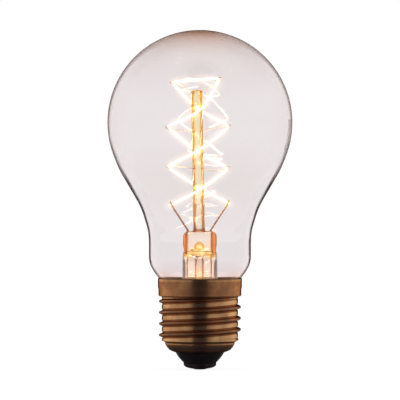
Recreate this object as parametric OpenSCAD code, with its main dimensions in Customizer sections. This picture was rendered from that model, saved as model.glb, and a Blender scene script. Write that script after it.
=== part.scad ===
// Filament bulb: a clear blown envelope on a brass screw cap, with a glass stem and rod inside
// that hold a hung zigzag filament. Millimetres, +Z up to the crown, origin at the tip of the
// centre contact on the bulb's axis. -Y is the side that the photograph looks at.

/* [Glass envelope] */
// Outer radius of the round crown
crown_r = 29.8; // [28:0.1:31.5]
// Angle of the shoulder's cone from the axis, in degrees
shoulder_angle = 29.7; // [28:0.1:31]
// Radius of the hollow curve from the shoulder into the neck
throat_r = 29.3; // [24:0.1:32]
// Length of the straight neck
neck_l = 4.63; // [1:0.01:8]
// How far the neck stands out beyond the mouth of the cap
neck_out = 3.02; // [2.6:0.01:3.6]
// Radius of the rounded heel below the neck
heel_r = 5; // [3.5:0.1:6.5]
// Angle of the heel's cone from the axis, in degrees
heel_angle = 30.6; // [29:0.1:33]
// Thickness of the blown wall
wall = 0.7; // [0.5:0.05:0.9]
// How far the glass foot stands in from the mouth of the cap
foot_in = 1.65; // [1.3:0.05:2]
// Radius of the bend from the heel's cone into the foot
foot_bend_r = 1.5; // [1:0.1:2]

/* [Glass stem] */
// Outer radius of the flare tube
stem_r = 5.65; // [5.3:0.05:6]
// Wall of the flare tube
stem_wall = 0.8; // [0.6:0.05:0.9]
// Height of the top of the press above the cap's rim
press_rise = 15.2; // [14.5:0.1:17]
// Width of the press across the lead wires
press_w = 10.9; // [10.4:0.05:11.2]
// Width of the waist below the press
waist_w = 10.4; // [10:0.05:10.8]
// Thickness of the pinched press
press_t = 4.6; // [4.2:0.1:5.2]
// Radius of the press's rounded shoulders
press_corner = 1.7; // [1.2:0.1:2]
// Depth of solid glass from the top of the press down to the flare tube's hollow
press_h = 7.4; // [7.2:0.1:8]
// Outer diameter of the exhaust tube
exhaust_d = 2.9; // [2.5:0.1:3.1]
// Bore of the exhaust tube
exhaust_bore = 1.6; // [1.2:0.1:1.8]
// Diameter of the blown vent bubble in the press
vent_d = 3.3; // [3:0.1:3.5]
// Diameter of the vent's mouth in the back of the press
vent_mouth = 1.8; // [1.4:0.1:2]
// Depth of the exhaust tube's sealed tip below the shoulder of the cap
tip_drop = 6.5; // [5:0.1:8]

/* [Mount] */
// Sideways set of the rod and lead wires from the bulb's axis
mount_x = -0.2; // [-0.4:0.05:0.2]
// Diameter of the glass rod
rod_d = 3.7; // [3.3:0.1:4]
// Length of the rod above the press
rod_l = 45.5; // [44.5:0.1:47]
// Depth of the rod's foot in the press
rod_seat = 2.5; // [1.8:0.1:2.7]
// Lean of the rod to the left, in degrees
rod_lean = 1; // [0:0.1:1.5]
// Distance between the two lead wires in the press
lead_span = 7.8; // [7.4:0.1:8]
// Diameter of the inner lead wires
lead_d = 0.6; // [0.4:0.05:0.7]
// Depth of the inner leads' feet in the press
lead_seat = 2.2; // [1.6:0.1:2.8]
// Diameter of the seal wires in the press
seal_d = 0.4; // [0.3:0.05:0.5]
// Length of the seal wires
seal_l = 4.6; // [4:0.1:5]
// Diameter of the copper leads below the press
copper_d = 0.4; // [0.3:0.05:0.5]
// Diameter of the fuse link
fuse_d = 0.2; // [0.15:0.05:0.3]
// Length of the fuse link
fuse_l = 4; // [3:0.1:5]
// Diameter of the support wires
support_d = 0.3; // [0.2:0.05:0.35]

/* [Filament] */
// Outer diameter of the coiled filament
coil_d = 0.9; // [0.7:0.05:1]
// Height of the lead tips above the press
tip_rise = 9; // [8.5:0.1:9.5]
// Height of the lower hooks above the press
low_rise = 20.6; // [20:0.1:21]
// Height of the middle hooks above the press
mid_rise = 33.7; // [33:0.1:34.2]
// Height of the top hooks above the end of the rod
top_gap = 3.2; // [2.7:0.1:4]
// Fore-and-aft set of the lead tips and the top hooks
swing = 3.9; // [3.5:0.1:4.3]
// Fore-and-aft set of the lower and middle hooks
hook_set = 1.35; // [1.2:0.05:1.5]
// Clearance between the filament and the rod where they cross
pass_gap = 0.5; // [0.4:0.05:0.8]

/* [Cap] */
// Radius over the thread's crests
crest_r = 13.2; // [13.03:0.01:13.23]
// Height of the crests above the flat band between them
thread_rise = 0.9; // [0.7:0.02:1]
// How far the skirt stands out beyond the crests
skirt_out = 0.35; // [0.2:0.05:0.6]
// Height of the skirt
skirt_h = 5.9; // [5.6:0.1:6.4]
// Depth of the small step round the skirt
skirt_step = 0.18; // [0.1:0.02:0.25]
// Height of the skirt above that step
skirt_band_h = 2.8; // [2.4:0.1:3.2]
// Thickness of the brass sheet
shell_t = 0.28; // [0.24:0.01:0.32]
// Pitch of the thread
pitch = 3.629; // [3.5:0.001:3.75]
// Height of the threaded part
thread_h = 14.24; // [14:0.01:16]
// How far the cup below the thread stands in from the thread's flat band
cup_in = 1.07; // [0.9:0.01:1.3]
// Height of the cup
cup_h = 3.71; // [3.5:0.01:4]
// Width of the rim round the hole in the bottom of the cup
cup_rim = 3.33; // [3:0.01:3.7]
// Depth of each staked dimple in the skirt
dimple_depth = 0.15; // [0.08:0.01:0.18]
// Height of the insulator's cone below the cup
insulator_h = 3.65; // [3.3:0.05:4]
// How much the insulator's radius narrows from the cup to the contact
insulator_taper = 2.6; // [2.2:0.05:3]
// How far the centre contact stands in from the insulator's edge
contact_in = 0.05; // [0.05:0.05:0.4]
// Height of the centre contact
contact_h = 1.9; // [1.7:0.05:2.2]
// Outer radius of the contact's eyelet
eyelet_r = 1.6; // [1.4:0.05:1.8]
// Wall of the eyelet
eyelet_wall = 0.4; // [0.3:0.05:0.5]
// Height of the eyelet inside the insulator
eyelet_h = 2.3; // [2:0.1:2.8]
// Radius of the solder dome on the contact
solder_r = 2.1; // [1.9:0.05:2.3]
// Height of the solder dome
solder_h = 0.38; // [0.3:0.02:0.45]
// Radius of the solder bead on the skirt
bead_r = 1.3; // [1.1:0.05:1.4]

/* [Hidden] */
$fn = 96;

// Clearance between the glass and the mouth of the skirt
glass_gap = 0.02;
// Clearance between a part and its seat where one slides into the other
seat_gap = 0.02;
// Depth of the cement's face below the rim
cement_drop = 0.6;
// Clearance above and below the side lead where it passes under the foot
lead_gap = 0.1;
// Clearance between the side lead and the skirt
skirt_gap = 0.25;
// Reach of each bend in the copper leads
lead_bend = 0.4;

// Heights from the contact's tip up
cone_z = contact_h;
cup_z = cone_z + insulator_h;
thread_z = cup_z + cup_h;
shoulder_z = thread_z + thread_h;
floor_z = shoulder_z + shell_t;
rim_z = shoulder_z + skirt_h;
press_z = rim_z + press_rise;
foot_z = floor_z + copper_d + 2 * lead_gap;

// Radii of the cap, from the thread outwards and inwards
skirt_r = crest_r + skirt_out;
root_r = crest_r - thread_rise;
cup_r = root_r - cup_in;
cup_mouth_r = cup_r - cup_rim;
insulator_tip_r = cup_mouth_r - insulator_taper;
contact_r = insulator_tip_r - contact_in;
bore_r = skirt_r - shell_t;

// Glass where it meets the cap
mouth_r = bore_r - glass_gap;
neck_r = mouth_r + neck_out;
foot_r = mouth_r - foot_in;
flare_r = foot_r - wall;
trumpet_r = flare_r - stem_r;
trumpet_z = foot_z + stem_wall + trumpet_r;

// Places of the two lead wires
left_x = mount_x - lead_span / 2;
right_x = mount_x + lead_span / 2;
seal_top = press_z - lead_seat;
seal_end = seal_top - seal_l;

// Direction, seen from above, of the notch that lets the side lead out
notch_angle = 60;
notch_w = 0.8;
notch_h = 1.7;
notch_z = rim_z - 1.2;

// Points of a circle's arc
function arc(c, r, a0, a1, n) =
    [for (i = [0:n]) c + r * [cos(a0 + (a1 - a0) * i / n), sin(a0 + (a1 - a0) * i / n)]];

// Point on a curve from a to c that leans towards b
function curve(a, b, c, u) = (1 - u) * (1 - u) * a + 2 * u * (1 - u) * b + u * u * c;
function curve_points(a, b, c, n) = [for (i = [0:n]) curve(a, b, c, i / n)];

function unit(v) = v / norm(v);
function square_to(t, v) = unit(v - (v * t) * t);
function reversed(p) = [for (i = [len(p) - 1:-1:0]) p[i]];

// Heights at which the envelope's arcs start, from the rim down to the foot and up to the crown
function foot_bend_z() =
    rim_z - (foot_in - foot_bend_r * (1 - cos(heel_angle))) / tan(heel_angle)
    - foot_bend_r * sin(heel_angle);
heel_z = rim_z + (neck_out - heel_r * (1 - cos(heel_angle))) / tan(heel_angle)
    + heel_r * sin(heel_angle);
throat_z = heel_z + neck_l;
crown_z = throat_z + (throat_r + crown_r) * sin(shoulder_angle)
    + (crown_r * cos(shoulder_angle) - neck_r - throat_r * (1 - cos(shoulder_angle)))
    / tan(shoulder_angle);

// Outline of the envelope, from the crown's top to the foot, d inside the outer face
function foot_outline(d) =
    arc([foot_r + foot_bend_r, foot_bend_z()], foot_bend_r + d, 180 - heel_angle, 180, 5);
function envelope_outline(d) = concat(
    arc([0, crown_z], crown_r - d, 90, -shoulder_angle, 48),
    arc([neck_r + throat_r, throat_z], throat_r + d, 180 - shoulder_angle, 180, 12),
    arc([neck_r - heel_r, heel_z], heel_r - d, 0, -heel_angle, 8),
    foot_outline(d),
    [[foot_r - d, foot_z]]
);

// Tube of a given diameter along a row of points, as one closed solid
function heading(p, i) = unit(p[min(i + 1, len(p) - 1)] - p[max(i - 1, 0)]);
function normals(p, n0, i = 0) =
    let (n = square_to(heading(p, i), n0))
    i == len(p) - 1 ? [n] : concat([n], normals(p, n, i + 1));
module tube(p, d, sides, n0) {
    n = normals(p, n0);
    m = len(p);
    rings = [
        for (i = [0:m - 1])
            let (b = cross(heading(p, i), n[i]))
            for (k = [0:sides - 1])
                p[i] + d / 2 * (n[i] * cos(360 * k / sides) + b * sin(360 * k / sides))
    ];
    walls = [
        for (i = [0:m - 2], k = [0:sides - 1])
            let (a = i * sides + k, b = i * sides + (k + 1) % sides)
            each [[a, a + sides, b], [b, a + sides, b + sides]]
    ];
    last = (m - 1) * sides;
    start = [for (k = [1:sides - 2]) [0, k, k + 1]];
    end = [for (k = [1:sides - 2]) [last, last + k + 1, last + k]];
    polyhedron(points = rings, faces = concat(start, walls, end));
}

// Row of points with each inner corner bent, starting at a reach r from the corner
function bent(p, r) = concat(
    [p[0]],
    [for (i = [1:len(p) - 2], u = [0, 0.5, 1])
        curve(p[i] + r * unit(p[i - 1] - p[i]), p[i], p[i] + r * unit(p[i + 1] - p[i]), u)],
    [p[len(p) - 1]]
);

// Glass envelope
module glass_envelope() {
    color([0.86, 0.84, 0.84, 0.35])
        rotate_extrude()
            polygon(concat(envelope_outline(0), reversed(envelope_outline(wall))));
}

// Stem: the flare tube with its trumpet foot, pinched flat at the top into the press
hollow_top = press_z - press_h;
waist_rise = 1.3;
pinch_h = 4.4;
pinch_z = hollow_top + waist_rise - pinch_h;
pinch_start = stem_r + 0.3;
hollow_round = 1.5;
vent_rise = 2.4;
function pinch(z, narrow) =
    let (u = min(1, max(0, (z - pinch_z) / pinch_h)))
    pinch_start + (narrow - pinch_start) * (1 - cos(180 * u)) / 2;
function pinch_levels() = [for (i = [0:10]) pinch_z + pinch_h * i / 10];

// Half outlines of the stem, seen from the side and from the front
press_edge = 1.2;
function side_outline() = concat(
    [[foot_r, foot_z - 1], [foot_r, pinch_z]],
    [for (h = pinch_levels()) [pinch(h, press_t / 2), h]],
    arc([press_t / 2 - press_edge, press_z - press_edge], press_edge, 0, 90, 6)
);
function hollow_outline() = concat(
    [[foot_r, foot_z - 1], [foot_r, pinch_z]],
    [for (h = pinch_levels()) if (h < hollow_top) [pinch(h, press_t / 2) - stem_wall, h]],
    [[pinch(hollow_top, press_t / 2) - stem_wall, hollow_top]]
);
function front_outline() = concat(
    [[foot_r, foot_z - 1], [foot_r, pinch_z]],
    [for (h = pinch_levels()) [pinch(h, waist_w / 2), h]],
    arc([press_w / 2 - press_corner, press_z - press_corner], press_corner, 0, 90, 8)
);
module both_sides(half) {
    polygon(concat(half, [for (p = reversed(half)) [-p[0], p[1]]]));
}
module seen_from_side(half) {
    translate([-foot_r, 0, 0])
        rotate([90, 0, 90])
            linear_extrude(2 * foot_r)
                both_sides(half);
}
module seen_from_front(half) {
    translate([0, foot_r, 0])
        rotate([90, 0, 0])
            linear_extrude(2 * foot_r)
                both_sides(half);
}
module pinched_tube() {
    intersection() {
        rotate_extrude()
            polygon(concat(
                [[0, foot_z], [flare_r, foot_z]],
                arc([flare_r, trumpet_z], trumpet_r, 270, 180, 12),
                [[stem_r, press_z], [0, press_z]]
            ));
        seen_from_side(side_outline());
        seen_from_front(front_outline());
    }
}
module stem_hollow() {
    top_r = stem_r - stem_wall - hollow_round;
    intersection() {
        rotate_extrude()
            polygon(concat(
                [[0, foot_z - 1], [flare_r, foot_z - 1]],
                arc([flare_r, trumpet_z], trumpet_r + stem_wall, 270, 180, 12),
                arc([top_r, hollow_top - hollow_round], hollow_round, 0, 90, 6),
                [[0, hollow_top]]
            ));
        seen_from_side(hollow_outline());
    }
}
module vent() {
    translate([mount_x, 0, hollow_top + vent_rise]) {
        sphere(d = vent_d);
        rotate([-90, 0, 0])
            cylinder(h = stem_r, d = vent_mouth);
    }
}
module down_bore(x, d, z0, z1) {
    translate([x, 0, z0])
        cylinder(h = z1 - z0, d = d);
}
module stem() {
    color([0.92, 0.86, 0.78, 0.5])
        difference() {
            pinched_tube();
            stem_hollow();
            vent();
            down_bore(mount_x, exhaust_d, foot_z, exhaust_top);
            arbor_body();
            for (x = [left_x, right_x]) {
                down_bore(x, lead_d, seal_top, press_z + 1);
                down_bore(x, seal_d, seal_end, seal_top);
                down_bore(x, copper_d, foot_z, seal_end);
            }
        }
}

// Exhaust tube, melted shut at its lower tip once the bulb was pumped out
exhaust_top = hollow_top + 1;
exhaust_tip = shoulder_z - tip_drop;
tip_l = 4;
tip_wall = 1.6;
module exhaust_tube() {
    r = exhaust_d / 2;
    b = exhaust_bore / 2;
    thick = exhaust_tip + tip_wall;
    color([0.92, 0.86, 0.78, 0.5])
        translate([mount_x, 0, 0])
            rotate_extrude()
                polygon(concat(
                    [[b, exhaust_top], [r, exhaust_top]],
                    curve_points(
                        [r, exhaust_tip + tip_l], [r * 0.6, exhaust_tip + tip_wall / 2],
                        [0, exhaust_tip], 5),
                    curve_points([0, thick], [b, thick], [b, exhaust_tip + tip_l], 4)
                ));
}

// Glass rod with a rounded top, standing in the press
module arbor_body() {
    round_r = 0.9;
    translate([mount_x, 0, press_z - rod_seat])
        rotate([0, -rod_lean, 0])
            rotate_extrude()
                polygon(concat(
                    [[0, 0], [rod_d / 2, 0]],
                    arc([rod_d / 2 - round_r, rod_seat + rod_l - round_r], round_r, 0, 90, 6),
                    [[0, rod_seat + rod_l]]
                ));
}
module arbor_rod() {
    color([0.95, 0.82, 0.6, 0.5])
        difference() {
            arbor_body();
            for (s = supports)
                support_bore(s);
        }
}

// Filament route. Each hook is [x, y, height above the press], in the order that the filament
// reaches them, and each pass is the point halfway to the next one, by the rod or over it.
pass_y = rod_d / 2 + coil_d / 2 + pass_gap;
top_rise = rod_l + top_gap;
hooks = [
    [-9.1, -swing, tip_rise - 0.3],
    [9.3, hook_set, low_rise - 0.2],
    [-10.7, hook_set, mid_rise],
    [6.5, -swing, top_rise + 0.5],
    [-9.3, swing, top_rise - 0.5],
    [9.6, -hook_set, mid_rise],
    [-10.5, -hook_set, low_rise + 0.2],
    [9, swing, tip_rise + 0.3]
];
passes = [
    [0.3, -pass_y, 13.6],
    [-0.8, pass_y, 25.5],
    [0.1, -pass_y, 39.1],
    [-1.5, 0, top_rise],
    [-0.8, pass_y, 39.7],
    [0.1, -pass_y, 26.4],
    [0.1, pass_y, 13.9]
];
last_hook = len(hooks) - 1;
corner_l = 1.5;
tail_l = 0.9;
// The leads, the supports and the filament are all placed from the middle of the press's top
function above_press(p) = p + [0, 0, press_z];
function hook(i) = above_press(hooks[i]);
function pass(i) = above_press(passes[i]);

// Point at u, from 0 to 1, on the run from hook i to hook i + 1, smooth where it passes the rod
function bend(a, b, ta, tb, u) =
    (2 * pow(u, 3) - 3 * u * u + 1) * a + (pow(u, 3) - 2 * u * u + u) * ta
    + (3 * u * u - 2 * pow(u, 3)) * b + (pow(u, 3) - u * u) * tb;
function run(i, u) =
    let (a = hook(i), m = pass(i), b = hook(i + 1), t = (b - a) / 2)
    u < 0.5 ? bend(a, m, m - a, t, 2 * u) : bend(m, b, t, b - m, 2 * u - 1);
function run_start(i) = i == 0 ? 0 : corner_l / norm(pass(i) - hook(i)) / 2;
function run_end(i) = i == last_hook - 1 ? 1 : 1 - corner_l / norm(hook(i + 1) - pass(i)) / 2;
run_steps = 7;
function run_points(i) = [
    for (k = [0:run_steps])
        run(i, run_start(i) + (run_end(i) - run_start(i)) * k / run_steps)
];
function turn(i, u) = curve(run(i - 1, run_end(i - 1)), hook(i), run(i, run_start(i)), u);
function turn_points(i) = i == last_hook ? [] : [for (u = [0.25, 0.5, 0.75]) turn(i, u)];
function start_heading() = unit(run(0, 0.05) - hook(0));
function end_heading() = unit(hook(last_hook) - run(last_hook - 1, 0.95));
filament_points = concat(
    [hook(0) - tail_l * start_heading()],
    [for (i = [0:last_hook - 1]) each concat(run_points(i), turn_points(i + 1))],
    [hook(last_hook) + tail_l * end_heading()]
);
module filament() {
    color([1, 0.85, 0.6])
        tube(filament_points, coil_d, 8, [0, 1, 0]);
}

// Support wires: [hook number, height of the foot on the rod above the press]
top_foot = rod_l - 1.1;
supports = [[6, low_rise - 0.4], [1, low_rise - 0.4], [2, mid_rise - 1.6], [5, mid_rise - 1.6],
    [4, top_foot], [3, top_foot]];
// Point on the rod's axis at a height above the press
function rod_axis(h) =
    [mount_x - (h + rod_seat) * tan(rod_lean), 0, press_z + h];
curl_gap = 0.4;
curl_r = coil_d / 2 + support_d / 2 + curl_gap;
foot_set = 0.5;
curl_rise = 2 * support_d;
function support_foot(s) =
    let (c = rod_axis(s[1]), out = turn(s[0], 0.5) - c)
    c + foot_set * unit([out[0], out[1], 0]);
// Curl round the filament's turn: its axis, its outward side and its own side
function curl_axis(s) = unit(turn(s[0], 0.75) - turn(s[0], 0.25));
function curl_out(s) = square_to(curl_axis(s), turn(s[0], 0.5) - support_foot(s));
function curl_side(s) = cross(curl_axis(s), curl_out(s));
function curl_point(s, a) =
    turn(s[0], 0.5) + curl_r * (curl_side(s) * cos(a) + curl_out(s) * sin(a))
    + curl_axis(s) * curl_rise * (a / 360 - 0.5);
function support_points(s) =
    let (f = support_foot(s), c = curl_point(s, 0))
    concat([f, f + (c - f) / 3, f + (c - f) * 2 / 3], [for (a = [0:40:400]) curl_point(s, a)]);
module support_bore(s) {
    f = support_foot(s);
    v = curl_point(s, 0) - f;
    translate(f)
        rotate([0, acos(v[2] / norm(v)), atan2(v[1], v[0])])
            cylinder(h = rod_d, d = support_d);
}
module support_wire(s) {
    color([0.62, 0.5, 0.4])
        tube(support_points(s), support_d, 6, [0, 0, 1]);
}

// Inner lead: straight in the press, then out to the filament's end, folded over it as a clamp
clamp_r = coil_d / 2 + lead_d / 2 + seat_gap;
clamp_in = 1.6;
clamp_out = 0.9;
function lead_points(x, h, t) =
    let (
        e = hook(h),
        w = square_to(t, e - [x, 0, press_z]),
        b = cross(t, w)
    )
    concat(
        [[x, 0, seal_top], [x, 0, press_z + lead_d]],
        [e - clamp_in * w + b * clamp_r],
        [for (a = [0:30:180]) e + clamp_r * (b * cos(a) + w * sin(a))],
        [e - clamp_out * w - b * clamp_r]
    );
module inner_lead(x, h, t) {
    color([0.6, 0.4, 0.25])
        tube(lead_points(x, h, t), lead_d, 8, [0, 1, 0]);
}

// Seal wire: the short red-coated wire that the press's glass grips
module seal_wire(x) {
    color([0.75, 0.3, 0.15])
        down_bore(x, seal_d, seal_end, seal_top);
}

// Copper leads and the fuse link, from the press down through the cap
fuse_drop = 3;
fuse_top = exhaust_tip - fuse_drop;
joint_l = 1;
lead_end = solder_h + 0.8;
module centre_lead_upper() {
    color([0.8, 0.45, 0.3])
        tube(bent([
            [left_x, 0, seal_end], [left_x, 0, floor_z], [0, 0, fuse_top + joint_l],
            [0, 0, fuse_top]
        ], lead_bend), copper_d, 8, [0, 1, 0]);
}
module fuse_link() {
    color([0.75, 0.75, 0.78])
        translate([0, 0, fuse_top - fuse_l])
            cylinder(h = fuse_l, d = fuse_d);
}
module centre_lead_lower() {
    color([0.8, 0.45, 0.3])
        translate([0, 0, lead_end])
            cylinder(h = fuse_top - fuse_l - lead_end, d = copper_d);
}
function around(r, z) = [r * cos(notch_angle), r * sin(notch_angle), z];
module side_lead() {
    under = foot_z - lead_gap - copper_d / 2;
    slot_r = (foot_r + bore_r - skirt_step) / 2;
    out_r = bore_r - copper_d / 2 - skirt_gap;
    color([0.8, 0.45, 0.3])
        tube(bent([
            [right_x, 0, seal_end], [right_x, 0, under], around(stem_r, under),
            around(slot_r, under), around(slot_r, foot_bend_z()), around(out_r, notch_z),
            around(skirt_r + bead_r / 2, notch_z)
        ], lead_bend), copper_d, 8, [0, 1, 0]);
}

// Cement that bonds the glass into the skirt, with a channel for the side lead
module cement_ring() {
    rotate_extrude()
        polygon(concat(
            reversed(skirt_outline(shell_t)),
            [[mouth_r, rim_z]],
            foot_outline(0),
            [[foot_r, floor_z]]
        ));
}
module notch(w, z0, z1) {
    rotate([0, 0, notch_angle])
        translate([foot_r - wall, -w / 2, z0])
            cube([skirt_r - foot_r + 2 * wall, w, z1 - z0]);
}
module cap_cement() {
    color([0.8, 0.75, 0.66])
        difference() {
            cement_ring();
            notch(notch_w, floor_z - 1, rim_z + 1);
            translate([0, 0, rim_z - cement_drop])
                cylinder(h = 1, r = skirt_r);
        }
}

// Thread rows: [distance above the middle of a crest, share of the crest's full rise]
dip = 0.25;
low = -dip / thread_rise;
thread_rows = [[0, 1], [0.33, 0.84], [0.62, 0.18], [0.85, low], [1.15, -0.05]];
bore_rows = [[0, 1], [0.5, 0.15], [0.9, low]];
function both_ways(rows) = concat(
    [for (i = [len(rows) - 1:-1:1]) [-rows[i][0], rows[i][1]]],
    rows,
    [[pitch / 2, 0]]
);
// The crest fades in and out over a short stretch at each end of the thread
fade_l = 1.3;
function fade(z) = max(0, min(1, (z - thread_z) / fade_l, (shoulder_z - z) / fade_l));

// Solid under a right-hand thread. Column n of one turn is column 0 of the next, m rows higher
module threaded_solid(rows, n, inset) {
    m = len(rows);
    z0 = thread_z - 2 * pitch;
    last = m * (ceil(thread_h / pitch) + 3) - 1;
    points = [
        for (j = [0:last], i = [0:n - 1])
            let (
                z = z0 + pitch * (floor(j / m) + i / n) + rows[j % m][0],
                r = root_r - inset + thread_rise * rows[j % m][1] * fade(z)
            )
            [r * cos(360 * i / n), r * sin(360 * i / n), z]
    ];
    bottom = len(points);
    top = bottom + 1;
    walls = [
        for (j = [0:last - 1], i = [0:n - 1])
            if (i < n - 1 || j + m + 1 <= last)
                let (a = j * n + i, b = i < n - 1 ? a + 1 : (j + m) * n)
                each [[a, b + n, b], [a, a + n, b + n]]
    ];
    low_rim = concat([for (i = [0:n - 1]) i], [for (j = [m:-1:1]) j * n]);
    high_rim = concat(
        [for (i = [0:n - 1]) last * n + i],
        [for (j = [1:m]) (last - j) * n + n - 1]
    );
    low_end = [for (k = [0:n + m - 1]) [bottom, low_rim[k], low_rim[(k + 1) % (n + m)]]];
    high_end = [for (k = [0:n + m - 1]) [top, high_rim[(k + 1) % (n + m)], high_rim[k]]];
    polyhedron(
        points = concat(points, [[0, 0, z0 + pitch / 2], [0, 0, points[last * n][2] + pitch / 2]]),
        faces = concat(walls, low_end, high_end)
    );
}
module thread_sheet() {
    intersection() {
        difference() {
            threaded_solid(both_ways(thread_rows), 30, 0);
            threaded_solid(both_ways(bore_rows), 20, shell_t);
        }
        translate([0, 0, thread_z])
            cylinder(h = thread_h + shell_t / 2, r = skirt_r);
    }
}

// Half outline of the skirt, d inside the outer face, from the rim down to the shoulder
step_z = rim_z - skirt_band_h;
step_h = 0.35;
low_skirt_r = skirt_r - skirt_step;
skirt_edge = 0.25;
lip_lap = 0.08;
function skirt_outline(d) = [
    [skirt_r - d, rim_z], [skirt_r - d, step_z],
    [low_skirt_r - d, step_z - step_h], [low_skirt_r - d, shoulder_z + max(d, skirt_edge)]
];
module skirt() {
    lip_r = root_r - shell_t - dip + lip_lap;
    rotate_extrude()
        polygon(concat(
            skirt_outline(0),
            [[low_skirt_r - skirt_edge, shoulder_z], [lip_r, shoulder_z], [lip_r, floor_z]],
            reversed(skirt_outline(shell_t))
        ));
}

// Cup below the thread, curving in to its mouth
groove_h = 0.95;
groove_depth = 0.12;
cup_corner = 0.93;
cup_lap = 0.2;
function cup_curve(d) = curve_points(
    [cup_r - d, thread_z - groove_h],
    [cup_r - cup_corner - d, cup_z + cup_corner / 2 + d],
    [cup_mouth_r, cup_z + d], 8);
module cup() {
    neck = root_r - 0.1;
    groove_r = cup_r - groove_depth;
    groove_z = thread_z - groove_h / 2;
    rotate_extrude()
        polygon(concat(
            [[neck - shell_t, thread_z + cup_lap], [neck, thread_z + cup_lap]],
            [[neck, thread_z - cup_lap / 4], [groove_r, groove_z]],
            cup_curve(0),
            reversed(cup_curve(shell_t)),
            [[groove_r - shell_t, groove_z + shell_t / 2]]
        ));
}
module skirt_with_notch() {
    difference() {
        skirt();
        notch(notch_w, rim_z - notch_h, rim_z + 1);
    }
}
// Directions of the staked dimples, seen from above, and the radius of the punch's nose
dimples = [-28, -152, 90];
dimple_drop = 1.6;
punch_r = 1.2;
module screw_shell() {
    color([0.72, 0.55, 0.35]) {
        difference() {
            union() {
                skirt_with_notch();
                thread_sheet();
                cup();
            }
            for (a = dimples)
                rotate([0, 0, a])
                    translate([skirt_r + punch_r - dimple_depth, 0, rim_z - dimple_drop])
                        sphere(r = punch_r);
        }
    }
}

// Insulator: dark glass that fills the cup and narrows to the contact
hole_r = eyelet_r + seat_gap;
insulator_edge = 0.35;
insulator_belly = 1.6;
module cap_insulator() {
    color([0.08, 0.07, 0.08])
        rotate_extrude()
            polygon(concat(
                [[hole_r, cone_z], [insulator_tip_r, cone_z]],
                curve_points(
                    [insulator_tip_r, cone_z + insulator_edge],
                    [insulator_tip_r + insulator_belly, (cone_z + cup_z) / 2],
                    [cup_mouth_r, cup_z], 6),
                reversed(cup_curve(shell_t)),
                [[hole_r, thread_z - groove_h]]
            ));
}

// Centre contact: a domed plate with an eyelet up into the insulator
eyelet_bore = eyelet_r - eyelet_wall;
contact_edge = 0.45;
contact_round = 0.65;
module centre_contact() {
    color([0.35, 0.34, 0.34])
        rotate_extrude()
            polygon(concat(
                [[eyelet_bore, cone_z + eyelet_h], [eyelet_r, cone_z + eyelet_h]],
                [[eyelet_r, cone_z], [contact_r, cone_z]],
                curve_points(
                    [contact_r, cone_z - contact_edge],
                    [contact_r - contact_round, (solder_h + cone_z - contact_edge) / 2],
                    [solder_r, solder_h], 6),
                [[eyelet_bore, solder_h]]
            ));
}
flat_r = 1.4;
plug_h = 0.8;
module centre_solder() {
    color([0.6, 0.6, 0.6])
        difference() {
            rotate_extrude()
                polygon(concat(
                    [[0, 0]],
                    curve_points(
                        [flat_r, 0], [(flat_r + 3 * solder_r) / 4, solder_h / 4],
                        [solder_r, solder_h], 4),
                    [[eyelet_bore, solder_h], [eyelet_bore, cone_z + plug_h]],
                    [[0, cone_z + plug_h]]
                ));
            down_bore(0, copper_d, lead_end, cone_z + 1);
        }
}

// Solder bead over the notch, where the side lead comes out
module side_solder() {
    color([0.6, 0.6, 0.6])
        difference() {
            translate(around(skirt_r, notch_z))
                sphere(r = bead_r);
            cylinder(h = rim_z + 2 * bead_r, r = skirt_r);
            rotate([0, 0, notch_angle])
                translate([0, 0, notch_z])
                    rotate([0, 90, 0])
                        cylinder(h = skirt_r + bead_r / 2, d = copper_d);
        }
}

glass_envelope();
stem();
exhaust_tube();
arbor_rod();
support_wire(supports[0]);  // support_low_left
support_wire(supports[1]);  // support_low_right
support_wire(supports[2]);  // support_mid_left
support_wire(supports[3]);  // support_mid_right
support_wire(supports[4]);  // support_top_left
support_wire(supports[5]);  // support_top_right
filament();
inner_lead(left_x, 0, start_heading());  // inner_lead_left
inner_lead(right_x, last_hook, end_heading());  // inner_lead_right
seal_wire(left_x);  // seal_wire_left
seal_wire(right_x);  // seal_wire_right
centre_lead_upper();
fuse_link();
centre_lead_lower();
side_lead();
cap_cement();
screw_shell();
cap_insulator();
centre_contact();
centre_solder();
side_solder();
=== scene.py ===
from math import copysign, cos, exp, hypot, pi, radians, sin, sqrt, tan, tau
import bpy
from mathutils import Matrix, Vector, noise


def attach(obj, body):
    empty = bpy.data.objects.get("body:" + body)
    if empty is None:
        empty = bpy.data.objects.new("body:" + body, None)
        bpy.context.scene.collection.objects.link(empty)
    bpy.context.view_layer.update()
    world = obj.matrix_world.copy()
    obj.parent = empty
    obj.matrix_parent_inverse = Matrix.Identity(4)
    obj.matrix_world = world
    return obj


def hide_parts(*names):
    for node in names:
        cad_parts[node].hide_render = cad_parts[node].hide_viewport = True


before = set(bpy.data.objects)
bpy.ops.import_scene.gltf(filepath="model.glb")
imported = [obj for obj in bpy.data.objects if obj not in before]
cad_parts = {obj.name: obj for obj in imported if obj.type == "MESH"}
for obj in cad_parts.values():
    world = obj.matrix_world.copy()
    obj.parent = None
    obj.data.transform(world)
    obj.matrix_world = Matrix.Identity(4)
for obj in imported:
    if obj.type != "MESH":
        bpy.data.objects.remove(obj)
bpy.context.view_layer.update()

# ---- Glass stem ----
# A flare tube of soft glass, closed and pinched flat at its hot upper end into the press, which
# grips the wires. Its trumpet foot is fused to the envelope's foot, and a vent bubble was blown in
# the press when the exhaust tube was joined on.
MM = 0.001
white = (1.0, 1.0, 1.0)
black = (0.0, 0.0, 0.0)
rim_z = 29.4
foot_z = 24.38
press_z = 44.6
hollow_z = 37.2
hollow_round = 1.4
mount_x = -0.2
stem_r = 5.65
stem_wall = 0.8
stem_sides = 96
flare_r = 10.9
trumpet_z = 30.43
pinch_z = 34.1
pinch_h = 4.4
press_half_t = 2.3
press_flatness = 0.8
press_round = 1.9
press_taper = 0.2
taper_z = 39
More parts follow.
